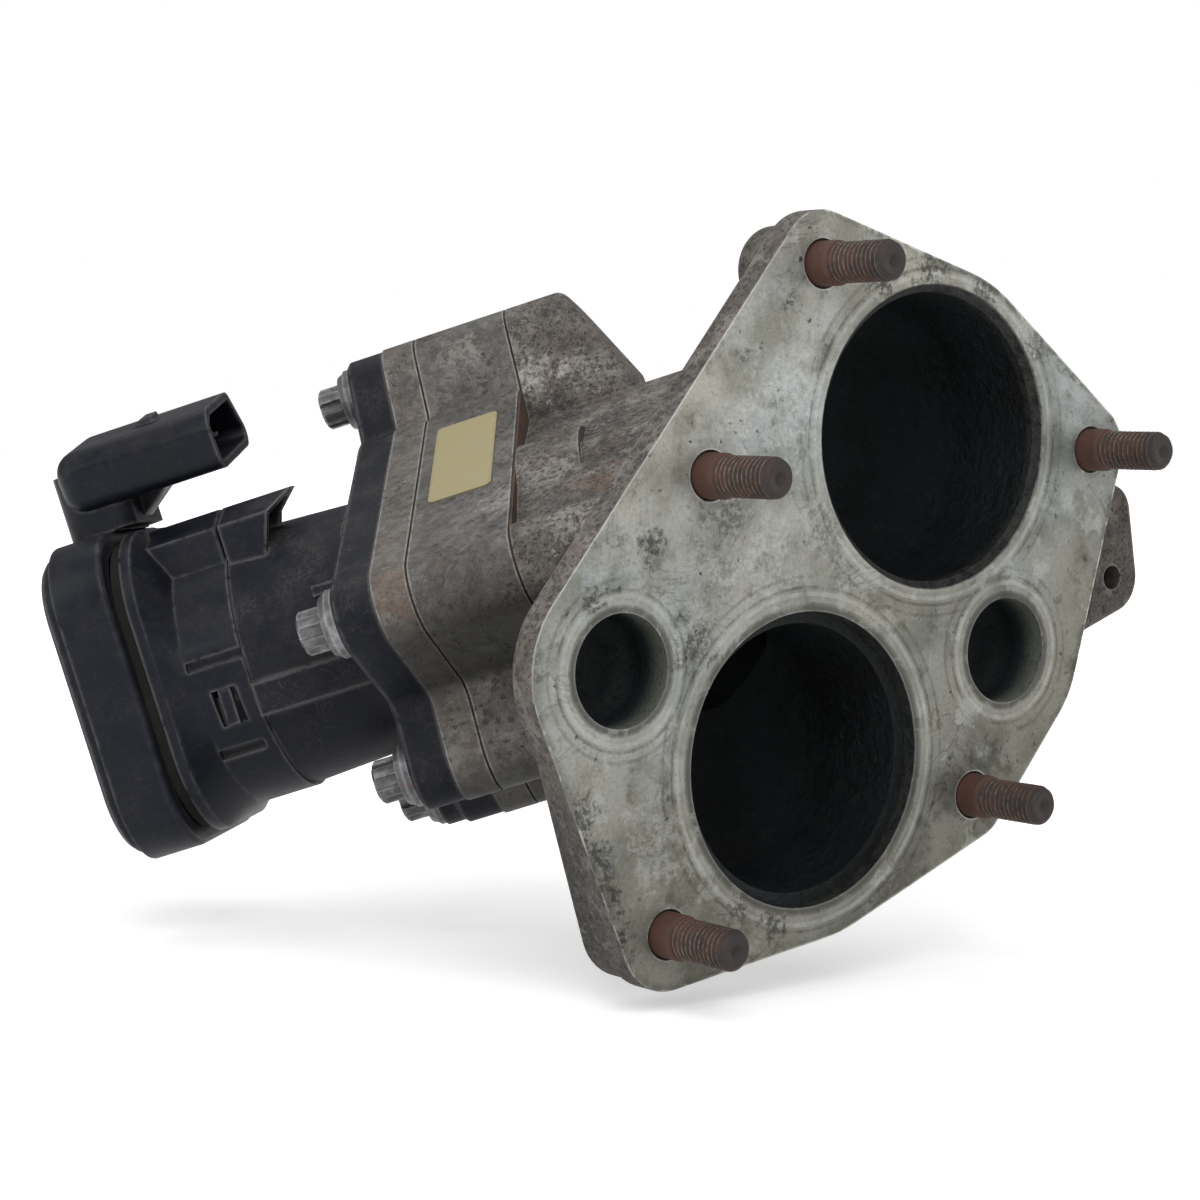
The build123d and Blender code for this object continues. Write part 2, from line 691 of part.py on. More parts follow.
def end_housing():
    """Band section that blends into the square end flange."""
    body = rod(0, 0, BAND_R, SEAM_Z, 52.0)
    blend = loft([
        Pos(0, 0, 47.0) * Circle(BAND_R),
        Pos(0, 0, 52.5) * cover_face(1.5, COVER_CORNER + 4),
    ])
    flange = slab(cover_face(1.5, COVER_CORNER + 4), 52.5, 55.0)
    body += blend + flange + rail()
    body -= rod(0, 0, BAND_R - BAND_WALL, SEAM_Z - 1, REAR_BEARING_Z)
    body -= rod(0, 0, BEARING_R, REAR_BEARING_Z - 1, REAR_BEARING_Z + BEARING_T)
    body -= rod(0, 0, 9.0, REAR_BEARING_Z, 60)
    # snap window and slots
    body -= window_cut(-6.5, 7.7, 38.0, 43.5)
    body += Pos(BAND_R - 2.2, -6.5, 39.4) * Box(1.6, 7.9, 2.8, align=(Align.MIN, Align.CENTER, Align.MIN))
    body -= window_cut(3.6, 2.0, SEAM_Z - 1, 47.0)
    body -= window_cut(-16.0, 2.0, 37.0, 47.0)
    for sx in (-1, 1):
        for sy in (-1, 1):
            body += rod(sx * 18, sy * 18, 2.2, 54.0, BOARD_LOW)
    return body


def window_cut(y, width, low, high):
    """Shallow recess in the near side of the band."""
    start = sqrt(BAND_R ** 2 - (abs(y) + width / 2) ** 2) - SLOT_DEPTH
    return Pos(start, y, low) * Box(8, width, high - low, align=(Align.MIN, Align.CENTER, Align.MIN))


def cover_seal():
    """Soft seal in the groove between end flange and cover."""
    ring = slab(cover_face(3.0, COVER_CORNER + 2), 55.0, BAND_END)
    return ring - slab(cover_face(7.0, COVER_CORNER - 1), 54.0, BAND_END + 1)


def end_cover():
    """Deep end cover with a chamfered rim and the lid ledge."""
    body = slab(cover_face(0, COVER_CORNER), BAND_END, COVER_END)
    bottom = body.faces().sort_by(Axis.Z)[0].edges()
    body = fillet(bottom, 1.2)
    body -= slab(cover_face(4.2, COVER_CORNER - 3), BAND_END - 1, COVER_END - COVER_WALL)
    body -= slab(cover_face(6.0, COVER_CORNER - 5), COVER_END - COVER_WALL - 1, COVER_END + 1)
    return body


def cover_lid():
    """Flat lid with a raised rim."""
    body = slab(cover_face(2.0, COVER_CORNER - 1), COVER_END, LIP_END)
    top = body.faces().sort_by(Axis.Z)[-1].edges()
    body = chamfer(top, 1.0)
    body -= slab(cover_face(5.0, COVER_CORNER - 3), LIP_END - 0.8, LIP_END + 1)
    body += slab(cover_face(6.4, COVER_CORNER - 5), COVER_END - 2, COVER_END)
    return body


def socket_face(inset):
    """Mouth outline of the connector, wider at the bottom."""
    pts = [(16 - inset, -6.65 + inset), (16 - inset, 3.2), (12.6 - 0.8 * inset, 6.65 - inset)]
    pts += [(-8.5 + 0.6 * inset, 6.65 - inset), (-16 + 1.3 * inset, -6.65 + inset)]
    face = Polygon(*pts, align=None)
    return fillet(face.vertices(), 3.4 - inset)


def in_socket(shape):
    """Place a shape drawn about the socket's own centre."""
    return Pos(SOCKET_MID[0], SOCKET_MID[1], 0) * Rot(0, 0, SOCKET_ROLL) * shape


def pin_shapes():
    """Bent contact pins from the socket down to the circuit board."""
    pins = []
    for i in range(5):
        x = (i - 2) * PIN_PITCH
        reach = Pos(x, SOCKET_MID[1], SOCKET_MOUTH + 5) * Box(PIN_W, PIN_W, 28.0, align=(Align.CENTER, Align.CENTER, Align.MIN))
        drop = Pos(x, 22.0, SOCKET_MOUTH + 33 - PIN_W) * Box(PIN_W, 29.65, PIN_W, align=(Align.CENTER, Align.MIN, Align.MIN))
        foot = Pos(x, 22.0, BOARD_TOP) * Box(PIN_W, PIN_W, 1.4, align=(Align.CENTER, Align.MIN, Align.MIN))
        pins.append(reach + drop + foot)
    return pins


def connector():
    """Angled connector body with an open socket facing the flange."""
    shell = slab(socket_face(0), SOCKET_MOUTH, SOCKET_BACK)
    shell = fillet(shell.faces().sort_by(Axis.Z)[-1].edges(), SOCKET_ROUND)
    lock = cross_slab([(5.6, 44.0), (7.9, 44.6), (7.9, 47.0), (5.6, 52.0)], -2.5, 3.5)
    body = in_socket(shell + lock)
    # neck standing on the cover and running up into the shell
    foot = Plane(origin=(0, COVER_HIGH, (NECK_FRONT + NECK_BACK) / 2), x_dir=(1, 0, 0), z_dir=(0, 1, 0))
    column = extrude(RectangleRounded(NECK_W, NECK_BACK - NECK_FRONT, NECK_ROUND), SOCKET_MID[1] - COVER_HIGH)
    body += foot.location * column
    # the column clears the end flange in front of the cover
    body -= Pos(0, COVER_HIGH - 1, NECK_FRONT - 1) * Box(60, 1 + NECK_LIFT, BAND_END - NECK_FRONT + 1, align=(Align.CENTER, Align.MIN, Align.MIN))
    web = cross_slab([(COVER_HIGH + NECK_LIFT, 55.0), (COVER_HIGH + 8.5, 44.0), (COVER_HIGH + 11, 44.0), (COVER_HIGH + 11, 58.0)], -3, 3)
    body += web
    body -= in_socket(slab(socket_face(SOCKET_WALL), SOCKET_MOUTH - 1, SOCKET_MOUTH + SOCKET_DEPTH))
    return body


# ------------------------------------------------------------------
# motor inside
# ------------------------------------------------------------------
def stator_radius():
    """Stator radius inside the drafted housing and the band."""
    share = (STATOR_LOW - BLACK_T) / (SEAM_Z - BLACK_T)
    drafted = HOUSING_R0 + (HOUSING_R1 - HOUSING_R0) * share - HOUSING_WALL
    return min(drafted, BAND_R - BAND_WALL) - STATOR_GAP


def stator_core():
    """Ring yoke with six poles."""
    body = tube(0, 0, stator_radius(), YOKE_R, STATOR_LOW, STATOR_HIGH)
    for i in range(6):
        pole = Pos(POLE_R, 0, STATOR_LOW) * Box(6, POLE_W, STATOR_HIGH - STATOR_LOW, align=(Align.MIN, Align.CENTER, Align.MIN))
        body += Rot(0, 0, i * 60) * pole
    body -= rod(0, 0, POLE_R, STATOR_LOW - 1, STATOR_HIGH + 1)
    return body


def coil(i):
    """Winding block around one pole."""
    tall = STATOR_HIGH - STATOR_LOW + 2 * COIL_LIFT
    outer = Pos(17.2, 0, STATOR_LOW - COIL_LIFT) * Box(3.2, POLE_W + COIL_T, tall, align=(Align.MIN, Align.CENTER, Align.MIN))
    inner = Pos(16.0, 0, STATOR_LOW) * Box(8, POLE_W, STATOR_HIGH - STATOR_LOW, align=(Align.MIN, Align.CENTER, Align.MIN))
    return Rot(0, 0, i * 60) * (outer - inner)


def bearing(low):
    """Bearing ring with a shielded groove on each side."""
    body = tube(0, 0, BEARING_R - 0.01, JOURNAL_R + RUN_GAP, low, low + BEARING_T)
    body -= tube(0, 0, 11.6, 9.8, low - 1, low + 0.6)
    body -= tube(0, 0, 11.6, 9.8, low + BEARING_T - 0.6, low + BEARING_T + 1)
    return body


def circuit_board():
    """Circuit board with the sensor chip and two raised parts."""
    body = slab(cover_face(9.0, 6.0), BOARD_LOW, BOARD_TOP)
    body += Pos(0, 0, BOARD_LOW - 1.0) * Box(6, 6, 1.0, align=(Align.CENTER, Align.CENTER, Align.MIN))
    body += Pos(-12, -12, BOARD_TOP) * Box(9, 9, 2.0, align=(Align.CENTER, Align.CENTER, Align.MIN))
    body += Pos(12, -10, BOARD_TOP) * Box(5, 8, 2.6, align=(Align.CENTER, Align.CENTER, Align.MIN))
    return body


# ------------------------------------------------------------------
# write the nodes
# ------------------------------------------------------------------
def save(name, shape):
    """Write one node; several separate solids become one compound."""
    solids = shape if isinstance(shape, list) else shape.solids()
    item = Compound(children=list(solids)) if len(solids) > 1 else solids[0]
    export_step(item, "parts/" + name + ".step")
    print(name, len(solids), round(sum(s.volume for s in solids)))


def solids_of(shapes):
    """Flat list of the solids in several shapes."""
    found = []
    for shape in shapes:
        found += list(shape.solids())
    return found


pins = [act(p) for p in pin_shapes()]
connector_body = act(connector())
cover_body = act(end_cover())
for p in pins:
    connector_body -= p
    cover_body -= p

save("valve_casting", casting())
save("flange_studs", solids_of([stud(at) for at in STUDS]))
save("casting_gasket", act(gasket(CAST_Z, CHAMBER_R)))
save("spacer_body", act(spacer()))
save("plate_gasket", act(gasket(PLATE_Z - GASKET_T, 20.0)))
save("intermediate_plate", act(mid_plate()))
save("actuator_seal", act(seal_ring()))
save("blank_label", act(label()))
save("seat_ring", act(seat_ring()))
save("stem_bush", act(guide_bush()))
save("valve_stem", act(stem()))
save("valve_disc", act(disc()))
save("spring_retainer", act(retainer()))
save("return_spring", act(coil_spring()))
save("lead_screw", act(lead_screw()))
save("rotor_nut", act(rotor_nut()))
save("rotor_magnets", act(rotor_magnets()))
save("sensor_magnet", act(sensor_magnet()))
save("motor_housing", act(motor_housing()))
save("compression_sleeves", solids_of([act(sleeve(*b, 0)) for b in (BOLT_T, BOLT_M, BOLT_B)]))
save("tall_sleeve", act(sleeve(*BOLT_H, H_RAISE)))
save("actuator_bolts", solids_of([act(bolt(*b, 0)) for b in (BOLT_T, BOLT_M, BOLT_B)]))
save("tall_bolt", act(bolt(*BOLT_H, H_RAISE)))
save("bolt_washers", solids_of([act(washer(*b, e)) for b, e in ((BOLT_T, 0), (BOLT_M, 0), (BOLT_B, 0), (BOLT_H, H_RAISE))]))
save("end_housing", act(end_housing()))
save("cover_seal", act(cover_seal()))
save("end_cover", cover_body)
save("cover_lid", act(cover_lid()))
save("connector_housing", connector_body)
save("connector_pins", solids_of(pins))
save("stator_core", act(stator_core()))
save("stator_coils", solids_of([act(coil(i)) for i in range(6)]))
save("front_bearing", act(bearing(GUIDE_END)))
save("rear_bearing", act(bearing(REAR_BEARING_Z)))
save("circuit_board", act(circuit_board()))
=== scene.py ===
"""EGR valve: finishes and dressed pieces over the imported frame."""
import logging
import math
from dataclasses import dataclass, field
from enum import Enum
from functools import cached_property
from typing import Any, Callable, Sequence

import bpy
from mathutils import Matrix, Vector


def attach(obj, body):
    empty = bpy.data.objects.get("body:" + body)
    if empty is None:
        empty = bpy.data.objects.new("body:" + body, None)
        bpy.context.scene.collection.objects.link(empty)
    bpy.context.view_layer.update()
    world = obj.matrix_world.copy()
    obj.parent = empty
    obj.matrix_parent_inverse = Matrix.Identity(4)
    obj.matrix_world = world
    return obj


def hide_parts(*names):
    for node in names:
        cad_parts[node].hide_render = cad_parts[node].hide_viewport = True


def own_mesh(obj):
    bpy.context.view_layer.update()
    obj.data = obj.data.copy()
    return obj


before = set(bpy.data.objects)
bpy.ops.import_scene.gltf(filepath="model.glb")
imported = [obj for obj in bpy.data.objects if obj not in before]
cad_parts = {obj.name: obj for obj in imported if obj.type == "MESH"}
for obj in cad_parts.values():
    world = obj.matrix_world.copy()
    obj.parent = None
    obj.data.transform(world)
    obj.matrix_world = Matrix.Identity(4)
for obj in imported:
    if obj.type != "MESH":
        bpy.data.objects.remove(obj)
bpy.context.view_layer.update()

LOG = logging.getLogger("egr_valve")
MM = 0.001
TURN = 2 * math.pi
TINT = "MULTIPLY"
WHITE = (1.0, 1.0, 1.0)
BODY = "valve_body"
Socket = bpy.types.NodeSocket
Node = bpy.types.Node
NodeTree = bpy.types.NodeTree
Material = bpy.types.Material
Colour = Point = tuple[float, float, float]
Axis = Pair = tuple[float, float]

# axes along row Y, as row X and Z in millimetres
UPPER_PORT = (32.9, 62.9)
LOWER_PORT = (0.0, 0.0)
COOLANT_LEFT = (-45.7, 19.3)
COOLANT_RIGHT = (53.9, 19.3)
STUDS = ((2.0, 96.1), (-25.3, 55.3), (77.9, 60.6), (45.5, -10.0), (-33.8, -30.9))

# bores of the casting: radii and row Y of their floors, with a little to spare
PORT_R = 29.0
COOLANT_R = 10.8
BORE_R = 30.4
COOLANT_BORE_R = 11.2
MOUTH = 0.25
UPPER_FLOOR = 36.3
LOWER_FLOOR = 38.4
COOLANT_FLOOR = 13.5

# valve chamber and gas passage, by height on the valve axis
CHAMBER_R = 19.4
CHAMBER_LOW = -92.0
CHAMBER_HIGH = -31.0
PASSAGE_R = 11.4
PASSAGE_START = (6.0, 30.0, 14.0)
PASSAGE_END = -41.0

# valve axis in the row frame, degrees and millimetres
VALVE_HEADING = 135.0
VALVE_DROOP = 18.6
VALVE_ORIGIN = (-23.8, 96.7, 24.0)


def actuator_matrix() -> Matrix:
    """Matrix from the actuator frame (millimetres) to the row frame (metres).

    Returns:
        A 4x4 matrix whose z axis runs along the valve axis.
    """
    heading, droop = math.radians(VALVE_HEADING), math.radians(VALVE_DROOP)
    level = math.cos(droop)
    axis = Vector((math.cos(heading) * level, math.sin(heading) * level, -math.sin(droop)))
    side = Vector((math.cos(heading + math.pi / 2), math.sin(heading + math.pi / 2), 0.0))
    mat = Matrix((side, axis.cross(side), axis)).transposed().to_4x4()
    mat.translation = Vector(VALVE_ORIGIN)
    return Matrix.Scale(MM, 4) @ mat


ACT = actuator_matrix()


def on_axis(height: float) -> Vector:
    """Return the point of the valve axis at a height, in row millimetres."""
    return (ACT @ Vector((0.0, 0.0, height))) / MM


def face_matrix(at: Axis, depth: float) -> Matrix:
    """Matrix for a piece that stands out of the flange face.

    Args:
        at: Row X and Z of the piece's axis, in millimetres.
        depth: Row Y of the piece's start, in millimetres.

    Returns:
        A matrix that turns +Z into row -Y and scales millimetres to metres.
    """
    turn = Matrix(((1, 0, 0), (0, 0, -1), (0, 1, 0))).to_4x4()
    turn.translation = Vector((at[0], depth, at[1]))
    return Matrix.Scale(MM, 4) @ turn


def shade(colour: Colour, factor: float, top: float = 1.0) -> Colour:
    """Return the colour times a factor, no channel above the top."""
    return tuple(min(c * factor, top) for c in colour)


class Mark(Enum):
    """Colour of each kind of local mark."""

    SOOT = (0.035, 0.033, 0.030)
    OIL = (0.055, 0.050, 0.042)
    WEAR = (0.52, 0.525, 0.50)
    BLOOM = (0.36, 0.34, 0.31)
    RUST = (0.15, 0.085, 0.055)


# how far noise moves a stain's rim, and where the rim starts and ends, in reaches
STAIN_RAGGED = 4.5
STAIN_CORE = 0.25
STAIN_RIM = 0.8


@dataclass(frozen=True)
class Stain:
    """One local mark at a place on the object, in row millimetres."""

    place: Point
    reach: float
    strength: float = 0.6
    kind: Mark = Mark.SOOT


def stains_of(*rows: tuple[Any, ...]) -> tuple[Stain, ...]:
    """Return stains from rows of X, Y, Z, reach and, where they differ, strength and kind."""
    return tuple(Stain(row[:3], *row[3:]) for row in rows)


# ---- node tools
def _maths(operation: str, swapped: bool = False) -> Callable[..., "Term"]:
    """Make a method that runs a Math node on a term and its arguments.

    Args:
        operation: The node's operation.
        swapped: Whether the term comes last.

    Returns:
        The method.
    """
    def method(self: "Term", *others: Any) -> "Term":
        terms = (*others, self) if swapped else (self, *others)
        return self.bench.math(operation, *terms)
    return method


class Term:
    """Number in a node tree that takes part in arithmetic."""

    def __init__(self, bench: "Bench", socket: Socket) -> None:
        """Keep the socket and the bench that it lies on."""
        self.bench = bench
        self.socket = socket

    __add__ = _maths("ADD")
    __sub__ = _maths("SUBTRACT")
    __rsub__ = _maths("SUBTRACT", swapped=True)
    __mul__ = _maths("MULTIPLY")
    __truediv__ = _maths("DIVIDE")
    least = _maths("MINIMUM")
    most = _maths("MAXIMUM")
    above = _maths("GREATER_THAN")
    below = _maths("LESS_THAN")
    absolute = _maths("ABSOLUTE")
    fraction = _maths("FRACT")
    sine = _maths("SINE")
    cosine = _maths("COSINE")

    def clamped(self) -> "Term":
        """Return the term held between zero and one by its own node."""
        self.socket.node.use_clamp = True
        return self

    def other(self, name: str) -> "Term":
        """Return another output of the same node."""
        return Term(self.bench, self.socket.node.outputs[name])

    def ramp(self, low: float, high: float) -> "Term":
        """Return a smooth step from zero at low to one at high."""
        node = self.bench.add("ShaderNodeMapRange", interpolation_type="SMOOTHSTEP")
        for socket, value in zip(node.inputs, (self, low, high, 0.0, 1.0)):
            self.bench.feed(socket, value)
        return Term(self.bench, node.outputs[0])

    def fade(self, low: float, high: float) -> "Term":
        """Return a smooth step from one at low to zero at high."""
        return 1.0 - self.ramp(low, high)

    def ring(self, middle: float, half: float) -> "Term":
        """Return one near the middle and zero from half a width away."""
        return (self - middle).absolute().fade(half * 0.5, half)


class Bench:
    """Adds and links nodes in one node tree."""

    def __init__(self, tree: NodeTree) -> None:
        """Keep the tree to work in."""
        self.tree = tree

    def feed(self, socket: Socket, value: Any) -> None:
        """Link a socket or set its default value."""
        if isinstance(value, Term):
            value = value.socket
        if isinstance(value, bpy.types.NodeSocket):
            self.tree.links.new(value, socket)
        elif socket.type == "RGBA" and len(value) == 3:
            socket.default_value = (*value, 1.0)
        else:
            socket.default_value = value

    def add(self, kind: str, **values: Any) -> Node:
        """Add a node and set its sockets or properties.

        Args:
            kind: The node's type name.
            **values: Input sockets by name (spaces as underscores) or properties.

        Returns:
            The new node.
        """
        node = self.tree.nodes.new(kind)
        for key, value in values.items():
            name = key.replace("_", " ")
            if name in node.inputs:
                self.feed(node.inputs[name], value)
            else:
                setattr(node, key, value)
        return node

    def math(self, operation: str, *terms: Any) -> Term:
        """Return the result of a Math node fed with the terms."""
        node = self.add("ShaderNodeMath", operation=operation)
        for socket, term in zip(node.inputs, terms):
            self.feed(socket, term)
        return Term(self, node.outputs[0])

    def part(self, vector: Socket, axis: str) -> Term:
        """Return one coordinate of a vector."""
        return Term(self, self.add("ShaderNodeSeparateXYZ", Vector=vector).outputs[axis])

    def noise(self, where: Socket, scale: float, detail: float = 4.0, rough: float = 0.6,
              swirl: float = 0.0) -> Term:
        """Return the value of a noise texture."""
        node = self.add("ShaderNodeTexNoise", Vector=where, Scale=scale, Detail=detail, Roughness=rough,
                        Distortion=swirl)
        return Term(self, node.outputs["Fac"])


class GroupBench(Bench):
    """Bench for a new node group with named inputs and outputs."""

    def __init__(self, name: str, kind: str, inputs: dict[str, Any], outputs: dict[str, str]) -> None:
        """Open the group.

        Args:
            name: The group's name.
            kind: The tree's type name.
            inputs: Default number, or socket type, of each input (spaces as underscores).
            outputs: Socket type of each output.
        """
        super().__init__(bpy.data.node_groups.new(name, kind))
        sockets = self.tree.interface
        for key, value in inputs.items():
            typed = isinstance(value, str)
            socket = sockets.new_socket(name=key.replace("_", " "), in_out="INPUT",
                                        socket_type=value if typed else "NodeSocketFloat")
            if not typed:
                socket.default_value = value
        for label, socket_type in outputs.items():
            sockets.new_socket(name=label, in_out="OUTPUT", socket_type=socket_type)
        self.ins = self.tree.nodes.new("NodeGroupInput")
        self.outs = self.tree.nodes.new("NodeGroupOutput")

    def get(self, name: str) -> Term:
        """Return a named input of the group."""
        return Term(self, self.ins.outputs[name])


# ---- shader tools
class Desk(Bench):
    """Bench for a shader tree."""

    @cached_property
    def where(self) -> Socket:
        """Object coordinates in millimetres."""
        place = self.add("ShaderNodeTexCoord").outputs["Object"]
        return self.vector("MULTIPLY", place, (1.0 / MM,) * 3)

    @cached_property
    def normal(self) -> Socket:
        """True surface normal."""
        return self.add("ShaderNodeNewGeometry").outputs["Normal"]

    def _vector_node(self, operation: str, terms: Sequence[Any]) -> Node:
        """Return a Vector Math node fed with the terms."""
        node = self.add("ShaderNodeVectorMath", operation=operation)
        for socket, term in zip(node.inputs, terms):
            self.feed(socket, term)
        return node

    def vector(self, operation: str, *terms: Any) -> Socket:
        """Return the vector that a Vector Math node makes."""
        return self._vector_node(operation, terms).outputs[0]

    def measure(self, operation: str, *terms: Any) -> Term:
        """Return the number that a Vector Math node makes."""
        return Term(self, self._vector_node(operation, terms).outputs["Value"])

    def mix(self, factor: Any, first: Any, second: Any, blend: str = "MIX") -> Socket:
        """Return the result of a colour Mix node."""
        node = self.add("ShaderNodeMix", data_type="RGBA", blend_type=blend, clamp_factor=True)
        for index, value in ((0, factor), (6, first), (7, second)):
            self.feed(node.inputs[index], value)
        return node.outputs[2]

    def blend(self, factor: Any, first: Any, second: Any) -> Term:
        """Return the result of a number Mix node."""
        node = self.add("ShaderNodeMix", data_type="FLOAT", clamp_factor=True)
        for index, value in ((0, factor), (2, first), (3, second)):
            self.feed(node.inputs[index], value)
        return Term(self, node.outputs[0])

    def layers(self, base: Any, *coats: tuple[Any, ...]) -> Socket:
        """Lay coats over a base colour.

        Args:
            base: The colour under the coats.
            *coats: Mask, strength and colour of each coat, and TINT if it multiplies.

        Returns:
            The coated colour.
        """
        for mask, strength, colour, *mode in coats:
            base = self.mix(mask if strength == 1.0 else mask * strength, base, colour, *mode)
        return base

    def mask(self, effect: NodeTree, *values: float) -> Term:
        """Place a shared effect at the desk's coordinates.

        Args:
            effect: The effect's group.
            *values: Its inputs after Vector, in their order.

        Returns:
            Its first output.
        """
        node = self.add("ShaderNodeGroup", node_tree=effect, Vector=self.where)
        for socket, value in zip(node.inputs[1:], values):
            self.feed(socket, value)
        return Term(self, node.outputs[0])

    def under(self, low: float, high: float) -> Term:
        """Return a mask of the faces that look down, for painted shade."""
        return (self.part(self.normal, "Z") * -1.0).ramp(low, high)

    def near(self, at: Axis) -> Term:
        """Return the distance in millimetres from an axis along row Y."""
        flat = self.vector("MULTIPLY", self.where, (1.0, 0.0, 1.0))
        return self.measure("DISTANCE", flat, (at[0], 0.0, at[1]))

    def tube(self, start: Vector, end: Vector, radius: float) -> Term:
        """Return one inside a tube between two points and zero outside it."""
        span = end - start
        ahead = tuple(span.normalized())
        offset = self.vector("SUBTRACT", self.where, tuple(start))
        off = self.measure("LENGTH", self.vector("CROSS_PRODUCT", offset, ahead))
        along = self.measure("DOT_PRODUCT", offset, ahead)
        return along.above(0.0) * along.below(span.length) * off.below(radius)

    def rays(self, *kinds: str) -> Term:
        """Return one on light paths of the named kinds."""
        path = self.add("ShaderNodeLightPath").outputs
        seen = Term(self, path[kinds[0]])
        for kind in kinds[1:]:
            seen = seen.most(path[kind])
        return seen

    def choose(self, factor: Term, first: Node, second: Node) -> Socket:
        """Return the result of a Mix Shader node."""
        node = self.add("ShaderNodeMixShader")
        for socket, value in zip(node.inputs, (factor, first.outputs[0], second.outputs[0])):
            self.feed(socket, value)
        return node.outputs[0]

    def stains(self, base: Socket, stains: Sequence[Stain]) -> Socket:
        """Lay ragged local marks over a base colour.

        Args:
            base: The colour under the marks.
            stains: The marks.

        Returns:
            The marked colour.
        """
        ragged = self.noise(self.where, 0.24, 8.0, 0.78) - 0.5
        bits = self.noise(self.where, 0.75, 4.0, 0.7).ramp(0.40, 0.56)
        for stain in stains:
            gone = self.measure("DISTANCE", self.where, stain.place) + ragged * (stain.reach * STAIN_RAGGED)
            spot = gone.fade(stain.reach * STAIN_CORE, stain.reach * STAIN_RIM) * bits
            base = self.mix(spot * stain.strength, base, stain.kind.value)
        return base


class Effect(GroupBench, Desk):
    """Desk that builds one shared effect from a Vector and numbers."""

    def __init__(self, name: str, outputs: Sequence[str] = ("Mask",), **inputs: float) -> None:
        """Open the effect's group.

        Args:
            name: The group's name.
            outputs: Names of its outputs, all numbers.
            **inputs: Names and defaults of its inputs after Vector.
        """
        super().__init__(name, "ShaderNodeTree", {"Vector": "NodeSocketVector", **inputs},
                         dict.fromkeys(outputs, "NodeSocketFloat"))
        self.where = self.ins.outputs["Vector"]

    def sized(self) -> Socket:
        """Return the coordinates times the Scale input."""
        node = self.add("ShaderNodeVectorMath", operation="SCALE", Scale=self.get("Scale"))
        self.feed(node.inputs[0], self.where)
        return node.outputs[0]

    def close(self, *results: Term) -> NodeTree:
        """Feed the outputs in their order and return the group."""
        for socket, result in zip(self.outs.inputs, results):
            self.feed(socket, result)
        return self.tree


def grain_effect() -> NodeTree:
    """Fine and coarse grain: a value about one half, and a height."""
    desk = Effect("cast_grain", ("Value", "Height"), Scale=1.0, Coarseness=0.5)
    where = desk.sized()
    fine = desk.noise(where, 2.2, 3.0, 0.65)
    coarse = desk.noise(where, 0.35, 4.0, 0.6)
    return desk.close(desk.blend(desk.get("Coarseness"), fine, coarse), fine * 0.4 + coarse)


def edge_effect(gain: float = 40.0) -> NodeTree:
    """Mask of rubbed edges, broken up by noise and raised by the gain."""
    desk = Effect("edge_wear", Amount=1.0, Scale=1.0, Radius=0.9)
    soft = desk.add("ShaderNodeBevel", samples=4, Radius=desk.get("Radius") * MM)
    bend = 1.0 - desk.measure("DOT_PRODUCT", soft.outputs[0], desk.normal)
    broken = desk.noise(desk.sized(), 0.5, 4.0, 0.7) - 0.35
    return desk.close((bend * desk.get("Amount") * (broken * gain)).clamped())


def grime_effect() -> NodeTree:
    """Patchy stain mask."""
    desk = Effect("grime", Scale=1.0, Amount=0.5, Softness=0.1)
    value = desk.noise(desk.sized(), 1.0, 6.0, 0.65)
    level = 1.0 - desk.get("Amount")
    high, low = level + desk.get("Softness"), level - desk.get("Softness")
    return desk.close(((value - low) / (high - low)).clamped())


def pits_effect(gain: float = 9.0) -> NodeTree:
    """Small corrosion pits of uneven size, their rims sharpened by the gain."""
    desk = Effect("pits", Scale=1.0, Size=0.3)
    where = desk.sized()
    warp = desk.noise(where, 1.6, 2.0, 0.5).other("Color")
    moved = desk.vector("ADD", where, warp)
    cell = desk.add("ShaderNodeTexVoronoi", Vector=moved, Scale=1.0, Randomness=1.0)
    pick = desk.add("ShaderNodeSeparateColor", Color=cell.outputs["Color"])
    size = desk.get("Size") * pick.outputs[0]
    return desk.close(((size - cell.outputs["Distance"]) * gain).clamped())


def crevice_effect() -> NodeTree:
    """Mask of inner corners from ambient occlusion, broken up by noise; dust on plastic, dirt and painted
    shade on metal.
    """
    desk = Effect("crevice", Reach=5.0, Amount=1.0)
    sky = desk.add("ShaderNodeAmbientOcclusion", samples=4, Distance=desk.get("Reach") * MM)
    shut = Term(desk, sky.outputs["AO"]).fade(0.35, 0.92)
    patch = desk.noise(desk.where, 0.3, 5.0, 0.7) + 0.15
    return desk.close((shut * patch * desk.get("Amount")).clamped())


def veins_effect() -> NodeTree:
    """Thin wandering residue lines."""
    desk = Effect("veins", Scale=1.0, Width=0.02)
    where = desk.sized()
    off = (desk.noise(where, 1.0, 6.0, 0.6, swirl=1.4) - 0.5).absolute()
    line = (1.0 - off / desk.get("Width")).clamped()
    return desk.close(line * desk.noise(where, 0.6, 3.0, 0.6).ramp(0.42, 0.6))


def dust_effect() -> NodeTree:
    """Pale dust that settles on upward faces and in patches."""
    desk = Effect("dust", Amount=0.3)
    lift = (desk.part(desk.normal, "Z") * 0.45 + 0.5).clamped()
    patch = desk.noise(desk.where, 0.12, 6.0, 0.7).ramp(0.38, 0.72)
    fine = desk.noise(desk.where, 1.4, 3.0, 0.7).ramp(0.25, 0.8)
    return desk.close((patch * fine * lift * desk.get("Amount")).clamped())


class Effects:
    """Shared effects, each a node group that is built once."""

    def __init__(self) -> None:
        """Build every shared group."""
        self.grain = grain_effect()
        self.edge = edge_effect()
        self.grime = grime_effect()
        self.pits = pits_effect()
        self.dust = dust_effect()
        self.crevice = crevice_effect()
        self.veins = veins_effect()


